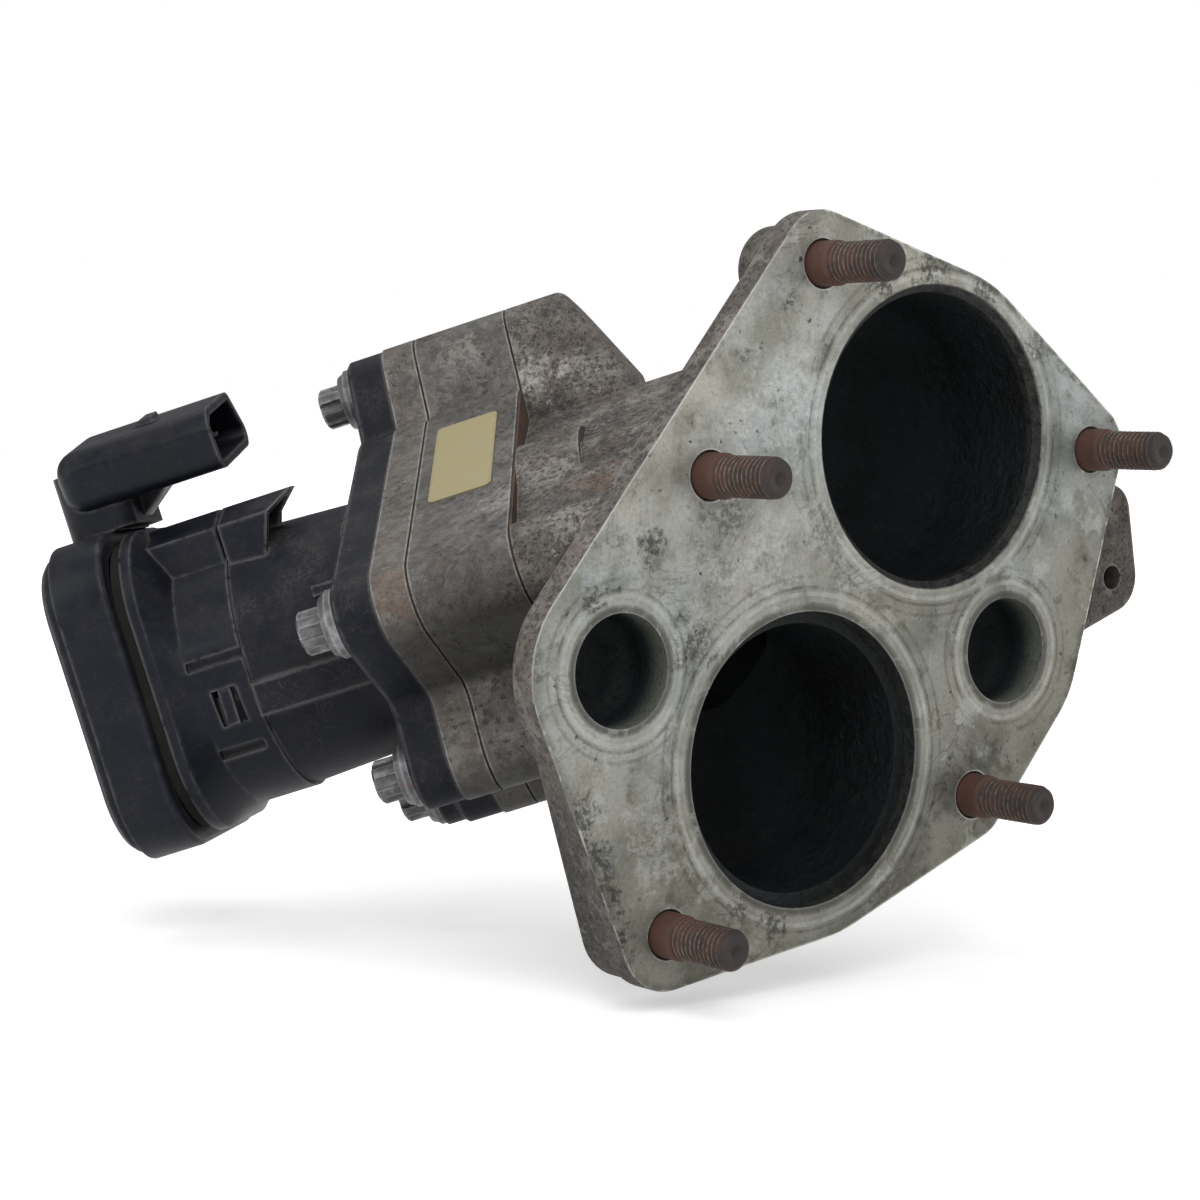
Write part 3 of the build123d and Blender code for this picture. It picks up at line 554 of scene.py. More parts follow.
def new_material(name: str) -> tuple[Material, Desk]:
    """Make an empty node material and the desk of its tree."""
    material = bpy.data.materials.new(name)
    material.use_nodes = True
    material.node_tree.nodes.clear()
    return material, Desk(material.node_tree)


# ---- finishes
@dataclass
class Surface:
    """What a finish feeds to its Principled shader."""

    colour: Socket
    roughness: Any
    height: Term
    depth: float
    strength: float
    metallic: Any = 0.0
    specular: float = 0.5


@dataclass(frozen=True)
class Finish:
    """A named procedural material."""

    name: str

    def surface(self, desk: Desk, fx: Effects) -> Surface:
        """Lay the finish's nodes.

        Args:
            desk: The material's desk.
            fx: The shared effect groups.

        Returns:
            The shader's inputs; depth is the bump's, in millimetres.
        """
        raise NotImplementedError

    def make(self, fx: Effects) -> Material:
        """Build the material.

        Args:
            fx: The shared effect groups.

        Returns:
            The finished material.
        """
        material, desk = new_material(self.name)
        made = self.surface(desk, fx)
        bump = desk.add("ShaderNodeBump", Strength=made.strength, Distance=made.depth * MM,
                        Height=made.height)
        shader = desk.add("ShaderNodeBsdfPrincipled", Base_Color=made.colour, Roughness=made.roughness,
                          Metallic=made.metallic, Specular_IOR_Level=made.specular, Normal=bump.outputs[0])
        desk.add("ShaderNodeOutputMaterial", Surface=shader.outputs[0])
        return material


@dataclass(frozen=True)
class PlasticFinish(Finish):
    """Black glass-filled plastic with dust and rubbed edges."""

    colour: Colour = (0.0036, 0.0046, 0.0085)
    dust_colour: Colour = (0.090, 0.078, 0.064)
    dust: float = 0.27
    wear: float = 0.5
    roughness: float = 0.33

    def surface(self, desk: Desk, fx: Effects) -> Surface:
        """Lay dust, nook dirt, scuffs and rubbed edges over black."""
        broad = desk.mask(fx.grime, 0.06, 0.5, 0.25)
        dust = desk.mask(fx.dust, self.dust)
        lighter = tuple(c * 1.6 + 0.0015 for c in self.colour)
        base = desk.layers(
            desk.mix(broad, self.colour, lighter),
            (dust, 1.0, self.dust_colour),
            (desk.mask(fx.crevice, 3.5, self.dust), 0.8, self.dust_colour),
            (desk.mask(fx.veins, 0.14, 0.012), 0.35 * self.wear, (0.085, 0.082, 0.078)),
            (desk.mask(fx.edge, self.wear * 1.8, 0.6, 1.3), 0.7, (0.13, 0.13, 0.132)))
        rough = desk.blend(dust, desk.blend(broad, self.roughness, self.roughness + 0.18), 0.85)
        height = desk.mask(fx.grain, 2.0, 0.3).other("Height")
        return Surface(base, rough, height, 0.05, 0.5, specular=0.16)


@dataclass(frozen=True)
class PlateFinish(Finish):
    """Weathered light-alloy plate with dark pits and oily stains."""

    colour: Colour = (0.15, 0.145, 0.135)
    stain: Colour = (0.045, 0.040, 0.034)
    pits: float = 0.42
    metallic: float = 0.3
    roughness: float = 0.55
    marks: tuple[Stain, ...] = ()

    def surface(self, desk: Desk, fx: Effects) -> Surface:
        """Lay grime, rust, veins, pits and local marks over alloy, with dirt and painted shade in inner
        corners and painted shade on faces that look down.
        """
        grain = desk.mask(fx.grain, 1.3, 0.5)
        stain = desk.mask(fx.grime, 0.07, 0.46, 0.13)
        spots = desk.mask(fx.pits, 0.62, self.pits) * desk.mask(fx.grime, 0.045, 0.50, 0.05)
        base = desk.layers(
            desk.mix(grain.ramp(0.40, 0.60), shade(self.colour, 0.62), shade(self.colour, 1.38)),
            (desk.mask(fx.grime, 0.24, 0.36, 0.05), 0.25, (0.30, 0.30, 0.295)),
            (stain, 0.62, self.stain),
            (desk.mask(fx.grime, 0.16, 0.40, 0.08), 0.35, (0.125, 0.080, 0.048)),
            (desk.mask(fx.veins, 0.11, 0.02), 1.0, (0.45, 0.42, 0.38), TINT),
            (spots, 0.8, (0.026, 0.024, 0.022)),
            (desk.mask(fx.pits, 1.3, self.pits * 0.9), 0.35, (0.04, 0.037, 0.034)),
            # dirt and painted shade: dark colour in inner corners, where ambient occlusion falls
            (desk.mask(fx.crevice, 5.0, 1.0), 0.75, (0.028, 0.024, 0.020)),
            (desk.mask(fx.edge, 0.8, 0.7), 0.6, (0.44, 0.44, 0.42)))
        base = desk.stains(base, self.marks)
        # painted shade: faces that look down are darkened
        base = desk.layers(base, (desk.under(0.15, 0.85), 0.65, shade(self.colour, 0.22)))
        rough = desk.blend(stain, self.roughness, self.roughness + 0.2)
        return Surface(base, rough, grain.other("Height") - spots, 0.16, 0.7, metallic=self.metallic)


@dataclass(frozen=True)
class MetalFinish(Finish):
    """General metal with grain, stains and optional rust."""

    colour: Colour
    stain: Colour = (0.05, 0.045, 0.04)
    rust: float = 0.0
    metallic: float = 0.9
    roughness: float = 0.35
    grime: float = 0.45

    def surface(self, desk: Desk, fx: Effects) -> Surface:
        """Lay stains, rust and rubbed edges over metal."""
        grain = desk.mask(fx.grain, 3.0, 0.5)
        stain = desk.mask(fx.grime, 0.25, self.grime, 0.12)
        rust = desk.mask(fx.grime, 0.35, self.rust, 0.1)
        base = desk.layers(
            desk.mix(grain.ramp(0.3, 0.7), shade(self.colour, 0.75), shade(self.colour, 1.2)),
            (stain, 0.7, self.stain),
            (rust, 1.0, (0.11, 0.045, 0.022)),
            (desk.mask(fx.edge, 0.8, 1.5), 0.5, shade(self.colour, 1.8, 0.8)))
        metal = (1.0 - rust) * desk.blend(stain, self.metallic, self.metallic * 0.5)
        rough = (desk.blend(stain, self.roughness, self.roughness + 0.2) + rust * 0.3).clamped()
        return Surface(base, rough, grain.other("Height"), 0.05, 0.6, metallic=metal)


@dataclass(frozen=True)
class SheetFinish(Finish):
    """Rust-stained gasket sheet."""

    colour: Colour = (0.09, 0.042, 0.02)

    def surface(self, desk: Desk, fx: Effects) -> Surface:
        """Lay dark patches over rusty sheet."""
        patch = desk.mask(fx.grime, 0.12, 0.5, 0.15)
        base = desk.mix(patch, self.colour, (0.03, 0.025, 0.02))
        height = desk.mask(fx.grain, 3.0, 0.4).other("Height")
        return Surface(base, desk.blend(patch, 0.7, 0.9), height, 0.05, 0.6)


@dataclass(frozen=True)
class LabelFinish(Finish):
    """Blank yellowed foil label with a rubbed border."""

    colour: Colour = (0.33, 0.285, 0.150)

    def surface(self, desk: Desk, fx: Effects) -> Surface:
        """Lay stains, specks and rubbed edges over foil."""
        stain = desk.mask(fx.grime, 0.12, 0.42, 0.15)
        base = desk.layers(
            self.colour,
            (stain, 0.5, (0.26, 0.21, 0.10)),
            (desk.mask(fx.pits, 0.9, 0.22), 0.4, (0.12, 0.10, 0.06)),
            (desk.mask(fx.edge, 1.2, 0.6), 0.5, (0.16, 0.13, 0.08)))
        height = desk.mask(fx.grain, 2.0, 0.6).other("Height")
        return Surface(base, desk.blend(stain, 0.38, 0.6), height, 0.03, 0.4, metallic=0.25)


@dataclass(frozen=True)
class CastFinish(Finish):
    """Sand-cast alloy with a machined flange face and sooty ports."""

    cast: Colour = (0.128, 0.116, 0.105)
    cast_dark: Colour = (0.038, 0.034, 0.030)
    # lit and shaded tones of the flange face, blended as painted light
    face_lit_tone: Colour = (0.335, 0.342, 0.322)
    face_shaded_tone: Colour = (0.172, 0.174, 0.154)
    marks: tuple[Stain, ...] = stains_of(
        (-6.3, 0.0, 88.8, 3.5, 0.95), (-17.4, 0.0, 78.1, 3.0, 0.8), (-20.0, 0.0, 47.0, 9.0, 0.65),
        (4.0, 0.0, 45.0, 9.0, 0.55, Mark.OIL), (-28.5, 0.0, 23.0, 8.0, 0.8),
        (-24.0, 0.0, 12.0, 7.0, 0.4, Mark.OIL), (-17.5, 0.0, -28.1, 5.0, 0.85),
        (-7.4, 0.0, -31.7, 5.0, 0.9), (-52.6, 0.0, 32.9, 4.0, 0.9), (-54.5, 0.0, -7.0, 6.0, 0.9),
        (-51.5, 0.0, -15.0, 7.0, 0.95), (-48.8, 0.0, -22.0, 7.0, 0.95), (-46.0, 0.0, -31.0, 6.0, 0.9),
        (16.9, 0.0, 93.6, 6.0, 0.9), (30.4, 0.0, 96.0, 7.0, 0.95), (45.8, 0.0, 91.7, 6.0, 0.85),
        (62.0, 0.0, 82.0, 6.0, 0.7), (-39.5, 0.0, 42.0, 6.0, 0.85), (26.0, 0.0, -26.0, 9.0, 0.5, Mark.OIL),
        (50.0, 0.0, -2.0, 8.0, 0.5, Mark.OIL), (-12.8, 0.0, 39.2, 12.0, 0.35, Mark.WEAR),
        (-8.0, 0.0, 68.0, 16.0, 0.35, Mark.WEAR), (-37.0, 0.0, -14.0, 12.0, 0.25, Mark.WEAR))
    skin_marks: tuple[Stain, ...] = stains_of(
        (10.8, 96.8, 68.5, 7.0, 1.0), (5.7, 89.0, 65.3, 9.0, 1.0), (3.8, 72.8, 64.4, 13.0, 0.95),
        (-4.9, 53.7, 60.3, 12.0, 0.85), (8.0, 103.0, 75.0, 8.0, 0.8, Mark.BLOOM),
        (16.1, 94.0, 76.0, 7.0, 0.5, Mark.BLOOM), (24.0, 102.0, 84.0, 10.0, 0.5, Mark.OIL),
        (-17.2, 63.8, 54.9, 10.0, 0.4, Mark.BLOOM), (-29.6, 34.9, 45.7, 12.0, 0.5, Mark.BLOOM),
        (-37.0, 12.0, 47.0, 9.0, 0.6, Mark.BLOOM), (-22.0, 30.0, 56.0, 10.0, 0.5, Mark.RUST),
        (-15.0, 47.9, 53.3, 9.0, 0.5, Mark.RUST), (-44.4, 10.4, -30.5, 16.0, 0.75),
        (-52.0, 9.0, -16.0, 14.0, 0.75), (-60.0, 9.0, 4.0, 14.0, 0.65, Mark.OIL),
        (-62.0, 9.0, 24.0, 12.0, 0.5, Mark.OIL))

    def _skin(self, desk: Desk, fx: Effects) -> tuple[Socket, Term, Term]:
        """Rough cast skin, with dirt and painted shade in inner corners and painted shade on faces that look
        down.

        Args:
            desk: The material's desk.
            fx: The shared effect groups.

        Returns:
            Colour, roughness and height.
        """
        grain = desk.mask(fx.grain, 1.0, 0.5)
        stain = desk.mask(fx.grime, 0.05, 0.5, 0.14)
        speck = desk.mask(fx.pits, 0.9, 0.55)
        skin = desk.layers(
            desk.mix(grain.ramp(0.41, 0.59), shade(self.cast, 0.50), shade(self.cast, 1.45)),
            (desk.mask(fx.grime, 0.075, 0.42, 0.10), 0.45, (0.150, 0.105, 0.075)),
            (stain, 0.65, self.cast_dark),
            (desk.mask(fx.grime, 0.12, 0.40, 0.05), 0.35, (0.30, 0.285, 0.26)),
            (speck, 0.6, (0.028, 0.025, 0.023)),
            # dirt and painted shade: dark colour in inner corners, where ambient occlusion falls
            (desk.mask(fx.crevice, 6.0, 1.1), 0.7, (0.035, 0.028, 0.022)),
            (desk.mask(fx.edge, 0.8, 0.7), 0.45, (0.36, 0.34, 0.31)))
        skin = desk.stains(skin, self.skin_marks)
        # painted shade: faces that look down take the dark cast colour
        skin = desk.layers(skin, (desk.under(0.1, 0.8), 0.55, self.cast_dark))
        return skin, desk.blend(stain, 0.62, 0.8), grain.other("Height") - speck * 0.7

    def _face(self, desk: Desk, fx: Effects, near: dict[Axis, Term]) -> tuple[Socket, Term, Term]:
        """Machined flange face with residue, wear, turned rings and painted light, brighter towards the upper
        left.

        Args:
            desk: The material's desk.
            fx: The shared effect groups.
            near: Distance from each port's axis.

        Returns:
            Colour, roughness and height.
        """
        where = desk.where
        # painted light: the flat face grows brighter towards the upper left, the key lamp's side
        painted_light_slope = desk.measure("DOT_PRODUCT", where, (-0.5, 0.0, 0.87))
        warm = desk.noise(where, 0.023, 3.0, 0.5)
        smear = desk.noise(where, 0.13, 8.0, 0.7, swirl=1.0)
        film = desk.mask(fx.grime, 0.11, 0.40, 0.04)
        dots = desk.mask(fx.pits, 0.42, 0.26)
        face = desk.layers(
            desk.mix(painted_light_slope.ramp(-40.0, 75.0), self.face_shaded_tone, self.face_lit_tone),
            (desk.noise(where, 0.05, 6.0, 0.64).fade(0.40, 0.58), 1.0, (0.60, 0.59, 0.54), TINT),
            (warm.ramp(0.45, 0.62), 1.0, (1.0, 0.97, 0.90), TINT),
            (warm.fade(0.36, 0.50), 1.0, (0.90, 0.95, 1.0), TINT),
            (desk.mask(fx.grime, 0.075, 0.42, 0.025), 0.34, (0.42, 0.428, 0.408)),
            (film, 0.65, (0.52, 0.52, 0.47), TINT),
            (desk.mask(fx.veins, 0.06, 0.016), 0.9, (0.42, 0.41, 0.37), TINT),
            (desk.noise(where, 1.3, 4.0, 0.75).fade(0.36, 0.56), 1.0, (0.80, 0.80, 0.78), TINT),
            (dots * smear.ramp(0.42, 0.56), 1.0, (0.05, 0.048, 0.043)))
        turned = clear = None
        for at, radius, reach in ((UPPER_PORT, PORT_R, 6.5), (LOWER_PORT, PORT_R, 6.5),
                                  (COOLANT_LEFT, COOLANT_R, 6.0), (COOLANT_RIGHT, COOLANT_R, 6.0)):
            gap = near[at]
            groove = gap.ring(radius + reach * 0.72, 0.42) * smear.ramp(0.36, 0.58)
            inner = gap.ring(radius + reach * 0.20, 0.5) * smear.ramp(0.36, 0.54)
            outer = gap.ring(radius + reach * 1.05, 0.5) * smear.ramp(0.40, 0.56)
            crest = gap.ring(radius + reach * 0.52, 0.6)
            lip = gap.fade(radius + 0.7, radius + 1.6) * smear.ramp(0.30, 0.50)
            face = desk.layers(
                face,
                (gap.fade(radius + 1.0, radius + reach), 0.30, (0.31, 0.312, 0.285)),
                (groove, 0.75, (0.45, 0.44, 0.40), TINT),
                (inner, 0.7, (0.50, 0.49, 0.44), TINT),
                (outer, 0.6, (0.55, 0.54, 0.50), TINT),
                (crest * desk.blend(smear.ramp(0.38, 0.58), 0.12, 0.32), 1.0, (0.46, 0.462, 0.43)),
                (lip, 0.85, (0.040, 0.038, 0.034)))
            cut = crest - (groove + inner)
            turned = cut if turned is None else turned + cut
            outside = gap.ramp(radius + 1.6, radius + 2.4)
            clear = outside if clear is None else clear * outside
        face = desk.stains(face, self.marks)
        side = desk.measure("DOT_PRODUCT", where, (0.80, 0.0, 0.60))
        rub = desk.mask(fx.edge, 1.6, 0.5, 0.7) * desk.blend(clear, 0.15, 0.8)
        far = side.ramp(50.0, 62.0).most(side.fade(-48.0, -36.0))
        crust = desk.mask(fx.edge, 1.2, 0.35, 3.2) * (far * smear.ramp(0.42, 0.52))
        face = desk.layers(face, (rub, 1.0, (0.68, 0.68, 0.64)), (crust, 0.85, (0.045, 0.042, 0.037)))
        height = smear * 0.12 + turned * 0.10 - dots * 0.12
        return face, desk.blend(film, 0.40, 0.62), height

    def surface(self, desk: Desk, fx: Effects) -> Surface:
        """Lay skin, flange face, sooty bores and coolant recesses with painted shade that deepens inwards."""
        where = desk.where
        depth = desk.part(where, "Y")
        behind = depth.above(MOUTH)
        on_face = (desk.part(desk.normal, "Y") * -1.0).ramp(0.6, 0.9) * depth.below(0.6)
        near = {at: desk.near(at) for at in (UPPER_PORT, LOWER_PORT, COOLANT_LEFT, COOLANT_RIGHT)}
        skin, skin_rough, skin_height = self._skin(desk, fx)
        face, face_rough, face_height = self._face(desk, fx, near)

        # gas bores, valve chamber and passage
        upper = near[UPPER_PORT].below(BORE_R) * depth.below(UPPER_FLOOR)
        lower = near[LOWER_PORT].below(BORE_R) * depth.below(LOWER_FLOOR)
        chamber = desk.tube(on_axis(CHAMBER_LOW), on_axis(CHAMBER_HIGH), CHAMBER_R)
        passage = desk.tube(Vector(PASSAGE_START), on_axis(PASSAGE_END), PASSAGE_R)
        inside = (upper.most(lower) * behind).most(chamber.most(passage))
        scale = desk.noise(where, 0.35, 6.0, 0.75)
        teal = desk.noise(where, 0.06, 3.0, 0.6)
        soot = desk.layers(
            desk.mix(teal.ramp(0.35, 0.65), (0.0016, 0.0024, 0.0036), (0.0032, 0.0075, 0.0088)),
            (scale.ramp(0.52, 0.68), 0.8, (0.0100, 0.0165, 0.0155)),
            (depth.fade(2.6, 3.8) * scale.ramp(0.36, 0.56), 0.5, (0.050, 0.049, 0.042)))

        # coolant recesses: painted shade, the walls darker with depth
        cool = near[COOLANT_LEFT].below(COOLANT_BORE_R).most(near[COOLANT_RIGHT].below(COOLANT_BORE_R))
        cool = cool * (behind * depth.below(COOLANT_FLOOR))
        recess_wall_painted_shade = desk.mix(depth.ramp(0.5, 7.0), (0.110, 0.118, 0.098), (0.006, 0.011, 0.013))
        recess_wall_painted_shade = desk.mix(depth.ramp(7.5, 8.4), recess_wall_painted_shade, (0.0025, 0.0045, 0.0055))

        base = desk.layers(skin, (on_face, 1.0, face), (inside, 1.0, soot), (cool, 1.0, recess_wall_painted_shade))
        rough = desk.blend(inside, desk.blend(on_face, skin_rough, face_rough), 0.5)
        height = desk.blend(inside, desk.blend(on_face, skin_height, face_height), scale * 3.2)
        return Surface(base, rough, height, 0.55, 0.85, metallic=on_face * 0.3, specular=0.3)


@dataclass(frozen=True)
class StudFinish(Finish):
    """Rusted stud: brown flanks, bright rubbed crests, dark end."""

    def surface(self, desk: Desk, fx: Effects) -> Surface:
        """Lay a rusty collar, rubbed crests and a dark end over rust."""
        patch = desk.mask(fx.grime, 0.35, 0.5, 0.12)
        grain = desk.mask(fx.grain, 3.0, 0.5)
        crest = Term(desk, desk.add("ShaderNodeAttribute", attribute_name="crest").outputs["Fac"])
        along = desk.part(desk.where, "Y")
        collar = along.ramp(-7.0, -3.5)
        bright = crest.ramp(0.75, 1.0) * grain.ramp(0.42, 0.6) * (1.0 - collar)
        base = desk.layers(
            desk.mix(patch, (0.080, 0.038, 0.025), (0.036, 0.025, 0.021)),
            (collar, 0.7, (0.092, 0.039, 0.026)),
            (bright, 0.75, (0.26, 0.235, 0.21)),
            (along.fade(-19.0, -9.0), 0.8, (0.62, 0.66, 0.72), TINT),
            (along.fade(-19.6, -18.6), 0.85, (0.026, 0.021, 0.020)))
        return Surface(base, desk.blend(bright, 0.75, 0.4), grain.other("Height"), 0.12, 0.8,
                       metallic=desk.blend(bright, 0.15, 0.8))


# ---- geometry trees
class Tree(GroupBench):
    """Bench for a geometry tree."""

    def __init__(self, name: str, **sizes: float) -> None:
        """Open the tree.

        Args:
            name: The tree's name.
            **sizes: Names and defaults of its inputs, which end with a Material.
        """
        super().__init__(name, "GeometryNodeTree", {**sizes, "Material": "NodeSocketMaterial"},
                         {"Geometry": "NodeSocketGeometry"})

    def join(self, *parts: Term) -> Socket:
        """Return the vector of three coordinates."""
        node = self.add("ShaderNodeCombineXYZ")
        for socket, term in zip(node.inputs, parts):
            self.feed(socket, term)
        return node.outputs[0]

    def step(self, kind: str, geometry: Socket, **values: Any) -> Socket:
        """Pass a geometry through a node.

        Args:
            kind: The node's type name.
            geometry: The geometry before it.
            **values: Its sockets or properties.

        Returns:
            The geometry after it.
        """
        node = self.add(kind, **values)
        self.feed(node.inputs[0], geometry)
        return node.outputs[0]

    def close(self, geometry: Socket) -> NodeTree:
        """End the tree in Realize Instances and Set Material."""
        real = self.step("GeometryNodeRealizeInstances", geometry)
        painted = self.step("GeometryNodeSetMaterial", real, Material=self.get("Material"))
        self.feed(self.outs.inputs[0], painted)
        return self.tree


def stud_tree(around: int = 48, along: int = 150) -> NodeTree:
    """Tree that makes a stud: collar, helical thread, chamfer and dimple.

    Args:
        around: Faces round the stud.
        along: Points along it.

    Returns:
        The node tree. Its sizes are in millimetres, along +Z.
    """
    tree = Tree("threaded_stud", Radius=4.0, Depth=0.6, Pitch=1.25, Length=22.0, Collar_Radius=4.4,
                Collar_End=6.0, Chamfer=1.2, Dimple_Radius=1.5, Dimple_Depth=1.0, Wear=0.12, Seed=0.0)
    rod, length, chamfer = tree.get("Radius"), tree.get("Length"), tree.get("Chamfer")
    grid = tree.add("GeometryNodeMeshGrid", Size_X=1.0, Size_Y=1.0, Vertices_X=around + 1, Vertices_Y=along)
    place = tree.add("GeometryNodeInputPosition").outputs[0]
    turn = (tree.part(place, "X") + 0.5) * TURN

    # up the side, then inward across the end
    travel = (tree.part(place, "Y") + 0.5) * (length + rod)
    height = travel.least(length)
    inward = travel - height

    # thread between a flat root and a flat crest
    phase = height / tree.get("Pitch") - turn / TURN
    wave = (phase.fraction() * 2.0 - 1.0).absolute()
    root, crown = 0.12, 0.86
    crest = (wave.most(root).least(crown) - root) / (crown - root)
    groove = (1.0 - crest) * tree.get("Depth")
    wander = 4.0
    spot = tree.join(turn.sine() * wander, turn.cosine() * wander, height + tree.get("Seed"))
    rub = (tree.noise(spot, 0.9, 3.0, 0.5) - 0.5) * tree.get("Wear")
    on_thread = (height - tree.get("Collar End")).clamped()
    plain = tree.get("Collar Radius") + rub
    side = (rod - groove + rub) * on_thread + plain * (1.0 - on_thread)
    side = side.least(rod - (chamfer - (length - height)))

    # flat end with a dimple
    face = (rod - chamfer) * (1.0 - inward / rod)
    on_face = inward.above(0.0001)
    radius = side * (1.0 - on_face) + face * on_face
    hollow = (1.0 - radius / tree.get("Dimple Radius")).clamped()
    sink = hollow * on_face * tree.get("Dimple Depth")
    spot = tree.join(radius * turn.cosine(), radius * turn.sine(), height - sink)
    mesh = tree.step("GeometryNodeStoreNamedAttribute", grid.outputs["Mesh"], data_type="FLOAT",
                     domain="POINT", Name="crest", Value=crest * on_thread)
    mesh = tree.step("GeometryNodeSetPosition", mesh, Position=spot)
    mesh = tree.step("GeometryNodeMergeByDistance", mesh, Distance=0.0005)
    return tree.close(tree.step("GeometryNodeSetShadeSmooth", mesh))


def spring_tree(points: int = 260) -> NodeTree:
    """Tree that makes a coil spring with closed end turns.

    Args:
        points: Points along the wire.

    Returns:
        The node tree. Its sizes are in millimetres, along +Z.
    """
    tree = Tree("coil_spring", Radius=13.0, Wire_Radius=1.1, Turns=6.0, Low=0.0, High=18.0)
    radius, low = tree.get("Radius"), tree.get("Low")
    share = Term(tree, tree.add("GeometryNodeInputIndex").outputs[0]) / (points - 1.0)
    turn = share * tree.get("Turns") * TURN
    height = low + share.ramp(0.1, 0.9) * (tree.get("High") - low)
    spot = tree.join(radius * turn.cosine(), radius * turn.sine(), height)
    line = tree.add("GeometryNodeMeshLine", Count=points)
    wire = tree.step("GeometryNodeSetPosition", line.outputs[0], Position=spot)
    wire = tree.step("GeometryNodeMeshToCurve", wire)
    ring = tree.add("GeometryNodeCurvePrimitiveCircle", Resolution=10, Radius=tree.get("Wire Radius"))
    wire = tree.step("GeometryNodeCurveToMesh", wire, Profile_Curve=ring.outputs[0], Fill_Caps=True)
    return tree.close(wire)


def link(name: str, data: Any) -> bpy.types.Object:
    """Make an object of the data and put it in the scene."""
    piece = bpy.data.objects.new(name, data)
    bpy.context.scene.collection.objects.link(piece)
    return piece


def grow(tree: NodeTree, name: str, place: Matrix, material: Material, **sizes: float) -> bpy.types.Object:
    """Run a geometry tree and keep its result as a plain mesh.

    Args:
        tree: The geometry tree to run.
        name: The new piece's name.
        place: Matrix from the tree's frame to the row frame.
        material: The material given to the tree.
        **sizes: The tree's named inputs, spaces as underscores.

    Returns:
        A plain mesh object at the origin.
    """
    holder = link(name + "_holder", bpy.data.meshes.new(name + "_holder"))
    modifier = holder.modifiers.new("grow", "NODES")
    modifier.node_group = tree
    wanted = {key.replace("_", " "): value for key, value in sizes.items()}
    wanted["Material"] = material
    for item in tree.interface.items_tree:
        if item.item_type == "SOCKET" and item.in_out == "INPUT" and item.name in wanted:
            modifier[item.identifier] = wanted[item.name]
    bpy.context.view_layer.update()
    seen = holder.evaluated_get(bpy.context.evaluated_depsgraph_get())
    mesh = bpy.data.meshes.new_from_object(seen)
    bpy.data.objects.remove(holder)
    mesh.name = name
    mesh.transform(place)
    LOG.info("grew %s", name)
    return link(name, mesh)


# ---- sub-assemblies
@dataclass
class Paintwork:
    """All finishes of the object, built once."""

    effects: Effects = field(default_factory=Effects)
    made: dict[str, Material] = field(default_factory=dict)

    def finish(self, recipe: Finish) -> Material:
        """Return the material of a recipe, building it the first time."""
        if recipe.name not in self.made:
            self.made[recipe.name] = recipe.make(self.effects)
        return self.made[recipe.name]

    def paint(self, recipe: Finish, *nodes: str) -> None:
        """Give CAD nodes a finish.

        Args:
            recipe: The finish.
            *nodes: Names of the CAD nodes.
        """
        material = self.finish(recipe)
        for name in nodes:
            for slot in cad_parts[name].material_slots:
                slot.material = material
            LOG.info("painted %s with %s", name, material.name)


def soften(width: float, *nodes: str, weld_gap: float = 0.002, sharp: float = 35.0) -> None:
    """Round the edges of CAD nodes a little.

    Args:
        width: Bevel width in millimetres.
        *nodes: Names of the CAD nodes.
        weld_gap: Gap in millimetres up to which points are one.
        sharp: Angle in degrees from which an edge is rounded.
    """
    for name in nodes:
        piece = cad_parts[name]
        weld = piece.modifiers.new("weld", "WELD")
        weld.merge_threshold = weld_gap * MM
        bevel = piece.modifiers.new("soften", "BEVEL")
        bevel.width = width * MM
        bevel.segments = 2
        bevel.limit_method = "ANGLE"
        bevel.angle_limit = math.radians(sharp)
        bevel.harden_normals = False


@dataclass
class ValveBody:
    """Casting, studs, gaskets, spacer, plate and label."""

    edge: float = 0.5
    stud_length: float = 20.0
    stud_start: float = 2.0
    collar_end: float = 4.5
    thread_pitch: float = 1.25
    thread_depth: float = 0.62
    seed_step: float = 7.0

    def build(self, works: Paintwork) -> None:
        """Paint the fixed metal pieces and grow the studs.

        Args:
            works: The finishes.
        """
        works.paint(CastFinish("cast_alloy"), "valve_casting")
        works.paint(PlateFinish("spacer_alloy", colour=(0.100, 0.097, 0.091), pits=0.55, marks=stains_of(
            (-7.7, 111.1, 69.5, 11.0, 0.8), (-36.4, 62.7, 16.2, 14.0, 0.6, Mark.OIL),
            (-1.4, 118.6, 80.8, 7.0, 0.35, Mark.BLOOM),
            (-30.8, 60.6, 48.9, 9.0, 0.4, Mark.BLOOM))), "spacer_body")
        works.paint(PlateFinish("plate_alloy", colour=(0.115, 0.106, 0.094), pits=0.4, marks=stains_of(
            (-57.4, 60.4, 29.2, 12.0, 0.45, Mark.RUST), (-12.3, 126.5, 73.9, 8.0, 0.6),
            (-36.8, 72.7, 3.0, 12.0, 0.5, Mark.OIL))), "intermediate_plate")
        soften(self.edge, "spacer_body", "intermediate_plate")
        works.paint(SheetFinish("gasket_sheet"), "casting_gasket", "plate_gasket")
        works.paint(LabelFinish("label_foil"), "blank_label")
        self._studs(works)

    def _studs(self, works: Paintwork) -> None:
        """Grow the five threaded studs in place of the CAD ones."""
        tree = stud_tree()
        rust = works.finish(StudFinish("stud_rust"))
        pieces = []
        for number, at in enumerate(STUDS):
            piece = grow(tree, f"flange_stud_{number + 1}", face_matrix(at, self.stud_start), rust,
                         Length=self.stud_start + self.stud_length, Pitch=self.thread_pitch,
                         Depth=self.thread_depth, Collar_End=self.stud_start + self.collar_end,
                         Seed=self.seed_step * number)
            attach(piece, BODY)
            pieces.append(piece)
        for piece in pieces:
            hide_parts("flange_studs")


